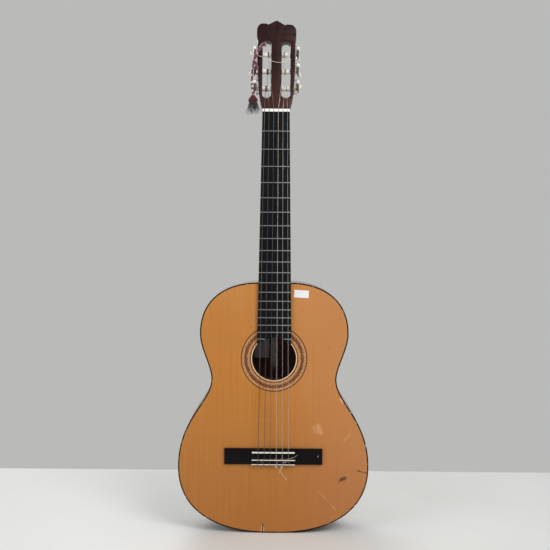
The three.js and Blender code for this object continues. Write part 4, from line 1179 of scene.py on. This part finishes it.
def make_string(tuner):
    """A string from its knot at the bridge to its roller, and its coil, which turns with the roller."""
    number, r = tuner.string, tuner.radius
    is_treble = number in TREBLE_STRINGS
    material, slot = (NYLON, "nylon_string") if is_treble else (WINDING, "wound_string")
    nut_x, bridge_x = string_x(number, SPACING_NUT), string_x(number, SPACING_BRIDGE)
    over_saddle = SADDLE_LOW.y - r * 0.9
    over_nut = NUT_LOW.y + NUT_SLOT - r * 0.6
    start = Vector((bridge_x, over_saddle, SADDLE_Z + 1.2))
    end = Vector((nut_x, over_nut, NUT_LOW.z + 0.5))
    run = [(bridge_x, over_saddle + 5.4, TIE_FRONT + 1.5), (bridge_x, over_saddle + 1.0, SADDLE_Z - 1.6),
           (bridge_x, over_saddle, SADDLE_Z)]
    run += [start.lerp(end, i / 24) for i in range(25)]
    run += [(nut_x, over_nut, (NUT_LOW.z + NUT_HIGH.z) / 2), (nut_x, over_nut + 0.25, NUT_HIGH.z - 1.0)]
    run.append(HEAD @ Vector((post_x(tuner), ROLLER_DEPTH - ROLLER_RADIUS - r, tuner.z)))
    tail = string_tail(bridge_x, r, 1 if is_treble else -1, number in (1, 6))
    part = merged(tube(run, r, 10), tube(smooth_path(tail, 5), r))
    make_piece(f"string_{number}_line", part, material, slot, stands_for=f"string_{number}")

    coil = []
    reach = ROLLER_RADIUS + r
    away = tuner.side * (2 * r + 0.1)
    for i in range(int(COIL_TURNS[number] * COIL_STEPS) + 1):
        angle = 2 * pi * i / COIL_STEPS - pi / 2
        x = post_x(tuner) - away * i / COIL_STEPS
        coil.append((x, ROLLER_DEPTH + reach * sin(angle), tuner.z + reach * cos(angle)))
    winding = tube(coil, r)
    make_piece(f"string_{number}_winding", winding, material, slot, f"string_roller_{number}", matrix=HEAD)


def make_string_ends():
    part = tube(smooth_path(END_ACROSS_HEAD, 5), 0.34)
    make_piece("string_end_head", part, BRIGHT_NYLON, "nylon_string", matrix=HEAD)
    ends = (("left", END_LEFT, KNOB, WARM_NYLON), ("right", END_RIGHT, KNOB, WARM_NYLON),
            ("treble", END_TREBLE, 0, NYLON))
    for name, places, knob, material in ends:
        route = smooth_path([(x, BOARD_Y - proud, z) for x, proud, z in places], 6)
        part = tube(route, lambda share: END_RADIUS + knob * exp(-((share - 0.2) / 0.06) ** 2), 10)
        make_piece("string_end_" + name, part, material, "nylon_string")
    for name, x in (("left", 4.6), ("right", 16.0)):
        bead = [(x + 1.9 * share, BOARD_Y - 3, 129.6) for share in (-1, -0.85, -0.5, 0, 0.5, 0.85, 1)]
        part = tube(bead, lambda share: 0.1 + BEAD_RADIUS * sqrt(max(0, 1 - (2 * share - 1) ** 2)), 12)
        make_piece("string_bead_" + name, part, BRIGHT_NYLON, "nylon_string")


for entry in TUNERS:
    make_string(entry)
make_string_ends()

# ---------------------------------------------------------------- head

CREST_HALF = 38.2


def head_outline():
    """The head's outline in its own frame, with the two thin slits carved into the veneer's edges."""
    side, crest = HEAD_SIDE, CREST_HALF
    base = bezier((HALF_NUT, GLUE), (33, 24), (34.6, 38), (side, 92), 14) + [(side, 92), (side, 138)]
    top = bezier((side, 138), (side, 145), (crest, 143), (crest, 150), 8)[1:]
    top += [(crest, 150), (crest, 155.2), (32.5, 155.6), (32.5, 156.3), (crest, 156.6)]
    top += bezier((crest, 163), (crest - 0.6, 169), (34.5, 172.5), (30, 175.5), 10)
    top += [(30, 175.5), (19.5, 175.8)]
    top += bezier((17, 174), (11.5, 175.5), (7, 180.5), (0, 183), 12)
    right = base + [(x, z - CREST_LEAN * x) for x, z in top]
    left = base + [(x, z + CREST_LEAN * x) for x, z in top]
    return right + [(0, 183)] + [(-x, z) for x, z in reversed(left)]


def slot_outline(side):
    radius = (SLOT_OUTER - SLOT_INNER) / 2
    middle = side * (SLOT_OUTER + SLOT_INNER) / 2
    top = arc((middle, SLOT_END - radius - CREST_LEAN * middle), radius, 0, pi, 20)
    return top + arc((middle, SLOT_START + radius), radius, pi, 2 * pi, 20)


def make_slot_ramp(name, side):
    """The cut that eases the strings into a slot: a sloping fillet at the slot's lower end."""
    inner, outer, rear = SLOT_INNER + 0.4, SLOT_OUTER - 0.4, HEAD_THICKNESS - 1
    rings = []
    for i in range(9):
        x = inner + (outer - inner) * i / 8
        bow = sin(pi * i / 8)
        foot = SLOT_START + 8.2 * (1 - bow) + 0.3
        rings.append([(x, 1.5, foot), (x, 6.0, foot + 5.5 * bow + 0.2), (x, rear, foot + 8.5 * bow + 0.2),
                      (x, rear, foot - 0.2)])
    make_piece("head_slot_ramp_" + name, skin(rings), CUT_WOOD, "neck_wood", matrix=HEAD @ flip(side))


plate("head_face_veneer", [head_outline(), slot_outline(-1), slot_outline(1)], HEAD_FACE, VENEER + GLUE,
      VENEER_WOOD, "head_veneer_wood", 0.35, "head_veneer", HEAD)
soften("headstock", 0.7, NECK_WOOD)
for side_name, head_side in reversed(SIDES):
    make_slot_ramp(side_name, head_side)

# ---------------------------------------------------------------- tuners

PLATE_X = HEAD_SIDE + GLUE
PLATE_THICKNESS = 1.2
PLATE_LOW = 30
PLATE_HIGH = 136
TUNER_PITCH = 35
SCREW_PLACES = (34.5, 62.5, 97.5, 131.5)
SCREW_HEAD = [(0.0, 2.3), (0.35, 2.25), (0.9, 1.7), (1.2, 0.9), (1.28, 0.05)]
SCREW_SHANK = [(-8.0, 0.6), (-6.0, 1.1), (0.1, 1.1)]
EAR_HALF = 3.0
GEAR_ROOT = 6.0
GEAR_TIP = 7.25
GEAR_WIDTH = 3.0
SHAFT_RADIUS = 1.6
WORM_ROOT = 2.3
SHAFT = [(-10.0, SHAFT_RADIUS), (-4.4, SHAFT_RADIUS), (-4.4, WORM_ROOT), (4.4, WORM_ROOT),
         (4.4, SHAFT_RADIUS), (22.0, SHAFT_RADIUS), (22.0, 0.4)]
THREAD_FOOT = 2.1
THREAD_TIP = 3.6
THREAD = [(THREAD_FOOT, -0.68), (3.4, -0.3), (THREAD_TIP, -0.18), (THREAD_TIP, 0.18), (3.4, 0.3),
          (THREAD_FOOT, 0.68)]
THREAD_TURNS = 2.8
THREAD_STEPS = 36
CAP = [(-13.0, 0.3), (-12.85, 1.2), (-12.3, 2.2), (-11.4, 3.0), (-10.2, 3.4), (-9.0, 3.3), (-8.0, 2.7),
       (-7.4, 2.0), (-7.2, 1.2)]
STEM = [(14.5, 2.2), (14.5, 3.2), (15.0, 3.5), (16.4, 3.3), (18.0, 2.7), (19.6, 3.2), (21, 3.0)]
PADDLE_START = 19.0
PADDLE_LENGTH = 9.4
SLEEVE_START = SLOT_INNER + GLUE
SLEEVE_END = SLOT_OUTER - 0.1
SLEEVE_FLARE = [(0, 5.0), (0.3, 5.3), (1.3, 5.3), (1.8, 4.8), (2.6, 4.7)]
SLEEVE = [(SLEEVE_START, 2.9), *[(SLEEVE_START + dx, r) for dx, r in SLEEVE_FLARE],
          *[(SLEEVE_END - dx, r) for dx, r in reversed(SLEEVE_FLARE)], (SLEEVE_END + 8.5, 5.0),
          (SLEEVE_END + 8.5, 2.9)]
CORE = [(SLOT_INNER - 6, 2.2), (SLOT_INNER - 5.6, 2.6), (WORM_X - 3, 2.6), (WORM_X - 3, 3.9),
        (WORM_X - 1.7, 3.9), (WORM_X - 1.7, 2.6), (WORM_X, 2.6)]
GEAR_SCREW = [(WORM_X + 1.1, 2.6), (WORM_X + 1.5, 2.6), (WORM_X + 1.52, 2.5), (WORM_X + 1.52, 1.0)]


def bearing_ear(z, end):
    """A tab bent out of the plate, its tip rounded about the worm shaft."""
    outline = [(PLATE_X + 0.4, z - EAR_HALF - 0.8), (PLATE_X + 2.2, z - EAR_HALF)]
    outline += arc((WORM_X, z), EAR_HALF, -pi / 2, pi / 2, 14)
    outline += [(PLATE_X + 2.2, z + EAR_HALF), (PLATE_X + 0.4, z + EAR_HALF + 0.8)]
    return skin([[(x, ROLLER_DEPTH + end * reach, pz) for x, pz in outline] for reach in (4.9, 6.3)])


def make_tuner_plate(name, side):
    """A stamped plate with a scalloped edge, bearing ears for the worms and domed screws."""
    middle, half_length = (PLATE_LOW + PLATE_HIGH) / 2, (PLATE_HIGH - PLATE_LOW) / 2
    edge = []
    for i in range(91):
        z = PLATE_LOW + (PLATE_HIGH - PLATE_LOW) * i / 90
        turn = (z - TUNERS_UP[0]) * 2 * pi / TUNER_PITCH
        wave = cos(turn) + 0.5 * cos(2 * turn)
        taper = sin(min(1.0, min(z - PLATE_LOW, PLATE_HIGH - z) / 7) * pi / 2) ** 0.7
        edge.append((z, max(0.6, (5.4 + wave) * taper)))
    loop = [(z, -half) for z, half in edge] + [(z, half) for z, half in reversed(edge)]
    rings = []
    for inward, x in ((0.0, 0.0), (0.0, PLATE_THICKNESS - 0.3), (0.3, PLATE_THICKNESS)):
        across, along = 1 - inward / 6, 1 - inward / half_length
        ring = [(ROLLER_DEPTH + y * across, middle + (z - middle) * along) for z, y in loop]
        rings.append([(PLATE_X + x, y, z) for y, z in ring])
    ears = [bearing_ear(z + WORM_OFFSET, end) for z in TUNERS_UP for end in (-1, 1)]
    make_piece(f"tuner_plate_{name}_stamping", merged(skin(rings), *ears), NICKEL, "tuner_metal",
               stands_for=f"tuner_plate_{name}", matrix=HEAD @ flip(side))

    screws = []
    for z in SCREW_PLACES:
        screws.append(lathe(SCREW_HEAD, X_AXIS, 20, (PLATE_X + PLATE_THICKNESS, ROLLER_DEPTH, z)))
        screws.append(lathe(SCREW_SHANK, X_AXIS, 12, (PLATE_X, ROLLER_DEPTH, z)))
    make_piece(f"plate_screws_{name}", merged(*screws), DARK_STEEL, "tuner_metal", matrix=HEAD @ flip(side))


def gear_part(z):
    """The gear: teeth with rounded flanks, leaning by the worm's lead.

    Its own angle runs from -z towards +y, as the CAD gear's does.
    """
    pitch_radius = GEAR_TEETH * WORM_PITCH / (2 * pi)
    lead = atan(WORM_PITCH / (pi * (WORM_ROOT + THREAD_TIP)))
    lean = GEAR_WIDTH * tan(lead) / pitch_radius
    flank = [(0.08, GEAR_TIP), (0.125, GEAR_TIP - 0.15), (0.2, GEAR_ROOT + 0.35), (0.27, GEAR_ROOT)]
    profile = [(-0.5, GEAR_ROOT)] + [(-place, radius) for place, radius in reversed(flank)] + flank
    rings = []
    for share, shrink in ((-0.5, 0.25), (-0.4, 0.0), (0.0, 0.0), (0.4, 0.0), (0.5, 0.25)):
        ring = []
        for tooth in range(GEAR_TEETH):
            for place, radius in profile:
                angle = (tooth + place) * 2 * pi / GEAR_TEETH + share * lean
                y, down = (radius - shrink) * sin(angle), (radius - shrink) * cos(angle)
                ring.append((WORM_X + share * GEAR_WIDTH, ROLLER_DEPTH + y, z - down))
        rings.append(ring)
    return skin(rings)


def make_roller(tuner):
    """String post: plastic sleeve with flared ends, steel core, gear with its screw."""
    number, centre = tuner.string, (0, ROLLER_DEPTH, tuner.z)
    body, matrix = f"string_roller_{number}", HEAD @ flip(tuner.side)
    sleeve = lathe(SLEEVE, X_AXIS, 40, centre)
    make_piece(f"roller_{number}_sleeve", sleeve, ROLLER_PLASTIC, "roller_plastic", body, f"roller_{number}",
               matrix)
    metal = (("core", lathe(CORE, X_AXIS, 28, centre), DARK_STEEL), ("gear", gear_part(tuner.z), DARK_STEEL),
             ("screw", lathe(GEAR_SCREW, X_AXIS, 24, centre), NICKEL))
    for name, part, material in metal:
        make_piece(f"roller_{number}_{name}", part, material, "tuner_metal", body, matrix=matrix)


def worm_part(centre):
    """Shaft with a smooth thread wound on it."""
    rings = []
    count = int(THREAD_TURNS * THREAD_STEPS)
    for i in range(count + 1):
        angle = 2 * pi * i / THREAD_STEPS + pi
        middle = WORM_PITCH * (i / THREAD_STEPS - THREAD_TURNS / 2)
        fade = min(1.0, i / 8, (count - i) / 8)
        ring = []
        for radius, along in THREAD:
            r = THREAD_FOOT + (radius - THREAD_FOOT) * fade
            ring.append(centre + Vector((r * sin(angle), middle + along, r * cos(angle))))
        rings.append(ring)
    return merged(lathe(SHAFT, Y_AXIS, 28, centre), skin(rings))


def button_part(centre, angle):
    """A flared paddle with a waist near its stem, its faces slightly dished."""
    rings = []
    for i in range(17):
        share = i / 16
        end_round = sqrt(max(0.0, 1 - (2 * share - 1) ** 6))
        half_width = (8.6 + 3.3 * sin(share * pi * 0.62)) * (0.55 + 0.45 * end_round)
        half_height = (2.9 + 0.9 * sin(share * pi * 0.7)) * (0.5 + 0.5 * end_round)
        ring = []
        for s in range(40):
            cx, cz = cos(2 * pi * s / 40), sin(2 * pi * s / 40)
            x = half_width * copysign(abs(cx) ** 0.72, cx)
            z = half_height * copysign(abs(cz) ** 0.8, cz) * (1 - 0.22 * exp(-((x / 4.2) ** 2)))
            ring.append(Vector((x, PADDLE_START + PADDLE_LENGTH * share, z)))
        rings.append(ring)
    points, faces = merged(skin(rings), lathe(STEM, Y_AXIS, 28))
    turned = Matrix.Translation(centre) @ Matrix.Rotation(radians(angle), 4, "Y")
    return [turned @ p for p in points], faces


def make_worm_and_button(tuner):
    number, body = tuner.string, f"worm_shaft_{tuner.string}"
    centre = Vector((WORM_X, ROLLER_DEPTH, tuner.z + WORM_OFFSET))
    matrix = HEAD @ flip(tuner.side)
    shaft = worm_part(centre)
    make_piece(f"worm_{number}_shaft", shaft, NICKEL, "tuner_metal", body, f"worm_{number}", matrix)
    cap = lathe(CAP, Y_AXIS, 32, centre)
    make_piece(f"worm_{number}_cap", cap, CAP_PLASTIC, "tuner_metal", body, matrix=matrix)
    paddle = button_part(centre, tuner.angle)
    make_piece(f"button_{number}_paddle", paddle, PEARL, "pearl_plastic", body, f"button_{number}", matrix)


for side_name, head_side in SIDES:
    make_tuner_plate(side_name, head_side)
for entry in TUNERS:
    make_roller(entry)
    make_worm_and_button(entry)

# ---------------------------------------------------------------- ribbon

RIBBON_WIDTH = 10
RIBBON_THICKNESS = 0.7
# The routes are in the head's frame, with the turn of the band in degrees at each point. The main one repeats
# the points of the CAD ribbon.
RIBBON_ROUTE = [
    ((-20, 6, 134), 70), ((-21, -1, 136.5), 60), ((-23.5, -5.6, 135.5), 25), ((-28, -6.4, 130), 8),
    ((-33, -6.4, 122), 0), ((-38, -8.2, 113), 0), ((-41.5, -10, 103), 15), ((-44.2, -9.6, 93), 45),
    ((-47, -6.5, 84), 75), ((-48, -2.5, 74), 90), ((-48.3, 0, 64), 90), ((-48.7, 1, 54), 90),
    ((-48, 0, 44), 90), ((-46.2, -2.5, 35), 60), ((-44.5, -4, 28), 30),
]
SECOND_TAIL = [
    ((-41.6, -10.4, 95), 10), ((-39.8, -10.2, 88), 50), ((-38.7, -9.0, 81), 80), ((-38.3, -8.0, 74), 80),
    ((-38.2, -7.2, 67), 70),
]
# The tassel's bunches, each hanging from its top in the head's frame. reach is how far out its threads start,
# flare how far out they end, and curl how much they wave.
Threads = namedtuple("Threads", "name material count top reach length radius flare curl")
TASSEL = [
    Threads("tassel_red_threads", RED_THREAD, 170, (-44.0, -4.5, 26), 3.2, 15, 0.42, 9.0, 0.5),
    # Painted shade: the dark bunch hangs long and wide, its dark threads standing partly for shadow below the
    # tassel.
    Threads("tassel_dark_threads", DARK_THREAD_AND_PAINTED_SHADE, 170, (-43.8, -4.5, 22), 3.0, 27, 0.42, 10.5, 0.9),
    Threads("tassel_frayed_threads", FRAYED_THREAD, 70, (-43.5, -4.8, 8), 6.0, 22, 0.26, 14.0, 3.2),
]


def ribbon_path(route):
    return smooth_path([p for p, _ in route], 6)


def band(route, curl):
    """A strip of cloth along a route, curled across its width and turned as the route says."""
    path = ribbon_path(route)
    turns = smooth_path([(turn, 0, 0) for _, turn in route], 6)
    radius = RIBBON_WIDTH / 2 / curl

    def point(i, share, face):
        along = direction(path, i)
        across = Matrix.Rotation(radians(turns[i].x), 3, along) @ along.cross(-Y_AXIS).normalized()
        normal = along.cross(across)
        bend = (2 * share - 1) * curl
        offset = across * (radius * sin(bend)) + normal * (radius * (1 - cos(bend)))
        return path[i] + offset + normal * face * RIBBON_THICKNESS / 2

    return slab(range(len(path)), 8, (1, -1), point)


def route_length(route):
    path = ribbon_path(route)
    return sum((b - a).length for a, b in zip(path, path[1:]))


def make_knot():
    """A half hitch: the band wound once round itself where its tails part."""
    coil = []
    for i in range(33):
        angle = 2 * pi * i / 24
        x = -43.2 + 3.2 * cos(angle) + 0.5 * i / 32
        coil.append((x, -9.6 + 2.8 * sin(angle), 96 - 4.0 * i / 32 + 1.2 * cos(angle)))
    part = tube(coil, lambda share: 1.7 + 0.5 * sin(share * pi), 12)
    return make_piece("ribbon_knot", part, KNOT_WEAVE, "ribbon_fabric", matrix=HEAD)


def make_tassel():
    """Loose threads below the band: red at the bunch, then dark and grey where they fray. The dark threads
    stand partly for shadow below the tassel, as painted shade.
    """
    draw = random.Random(11)
    made = []
    for group in TASSEL:
        parts = []
        for _ in range(group.count):
            angle = draw.uniform(0, 2 * pi)
            out = Vector((cos(angle), 0.5 * sin(angle), 0))
            reach = draw.uniform(0.25, 1.0)
            total = group.length * draw.uniform(0.7, 1.0)
            phase, turns = draw.uniform(0, 2 * pi), draw.uniform(0.5, 1.6)
            route = []
            for i in range(9):
                share = i / 8
                spread = group.reach + (group.flare - group.reach) * sin(share * pi / 2) ** 1.2
                swing = group.curl * share * sin(phase + 2 * pi * turns * share)
                fall = Vector((swing, 0.5 * swing - 0.8 * share, 0.4 * swing - total * share))
                route.append(Vector(group.top) + out * spread * reach + fall)
            parts.append(tube(route, group.radius, 5))
        made.append(make_piece(group.name, merged(*parts), group.material, "ribbon_fabric", matrix=HEAD))
    return made


def make_ribbon():
    main = band(RIBBON_ROUTE, 1.55)
    piece = make_piece("ribbon_band", main, RIBBON_WEAVE, "ribbon_fabric", stands_for="ribbon", matrix=HEAD)
    tail = make_piece("ribbon_short_tail", band(SECOND_TAIL, 2.6), RIBBON_WEAVE, "ribbon_fabric", matrix=HEAD)
    knot = make_knot()
    tassel = make_tassel()
    route_length(RIBBON_ROUTE) * MM
    route_length(SECOND_TAIL) * MM


make_ribbon()

# ---------------------------------------------------------------- price sticker

STICKER_CENTRE = (51.7, 463.6)
STICKER_HALF_WIDTH = 14
STICKER_HALF_HEIGHT = 7.2
STICKER_TILT = radians(-3)


def sticker_point(station, share, level):
    u, v = 2 * share - 1, 2 * station - 1
    lift = 1.4 * max(0.0, (u - v) / 2 - 0.55) ** 1.5
    across, up = u * STICKER_HALF_WIDTH, v * STICKER_HALF_HEIGHT
    x = across * cos(STICKER_TILT) - up * sin(STICKER_TILT)
    z = across * sin(STICKER_TILT) + up * cos(STICKER_TILT)
    return STICKER_CENTRE[0] + x, BOARD_Y - level - lift, STICKER_CENTRE[1] + z


# A small blank sticker whose lower corner lifts off the soundboard.
sticker = slab([r / 8 for r in range(9)], 12, (0.04, 0.16), sticker_point)
make_piece("blank_price_sticker", sticker, STICKER_PAPER, "paper")

# ---------------------------------------------------------------- stage and light, in metres

FLOOR_TONE = (0.76, 0.76, 0.755)
FLOOR_HALF = 3.0
FLOOR_END = 0.436
WALL_TONE = (0.545, 0.55, 0.535)
WALL_STRENGTH = 0.9
# Each light's name, place, aim, size across, power in watts and colour.
LIGHTS = [
    ("key_light", (1.6, -2.3, 2.6), (0, 0, 0.5), 1.8, 62, (1.0, 0.98, 0.95)),
    ("fill_light", (-2.2, -2.0, 1.5), (0, 0, 0.45), 2.2, 26, (0.95, 0.97, 1.0)),
    ("back_light", (-0.8, 2.6, 2.2), (0, 0, 0.5), 2.0, 30, (1.0, 1.0, 1.0)),
]


def make_stage():
    s = Shader("pale_floor")
    cloud = s.noise(s.place(), 0.004, 3.0)
    shaded = tuple(c * 0.97 for c in FLOOR_TONE)
    colour = s.ramp(cloud, (0.3, shaded), (0.7, FLOOR_TONE))
    mesh = bpy.data.meshes.new("floor")
    corners = [(-FLOOR_HALF, -FLOOR_HALF, 0), (FLOOR_HALF, -FLOOR_HALF, 0), (FLOOR_HALF, FLOOR_END, 0),
               (-FLOOR_HALF, FLOOR_END, 0)]
    mesh.from_pydata(corners, [], [(0, 1, 2, 3)])
    mesh.materials.append(s.finish(colour, s.rough(cloud, 0.45, 0.6)))
    add_to_scene("floor", mesh)

    world = bpy.data.worlds.new("studio")
    bpy.context.scene.world = world
    world.use_nodes = True
    background = world.node_tree.nodes["Background"]
    background.inputs["Color"].default_value = (*WALL_TONE, 1)
    background.inputs["Strength"].default_value = WALL_STRENGTH


def make_light(name, place, aim, size, power, colour):
    data = bpy.data.lights.new(name, "AREA")
    data.shape = "DISK"
    data.size = size
    data.energy = power
    data.color = colour
    light = add_to_scene(name, data)
    light.location = place
    light.rotation_mode = "QUATERNION"
    light.rotation_quaternion = (Vector(aim) - Vector(place)).to_track_quat("-Z", "Y")


make_stage()
for studio_light in LIGHTS:
    make_light(*studio_light)
bpy.context.scene.view_settings.view_transform = "Standard"
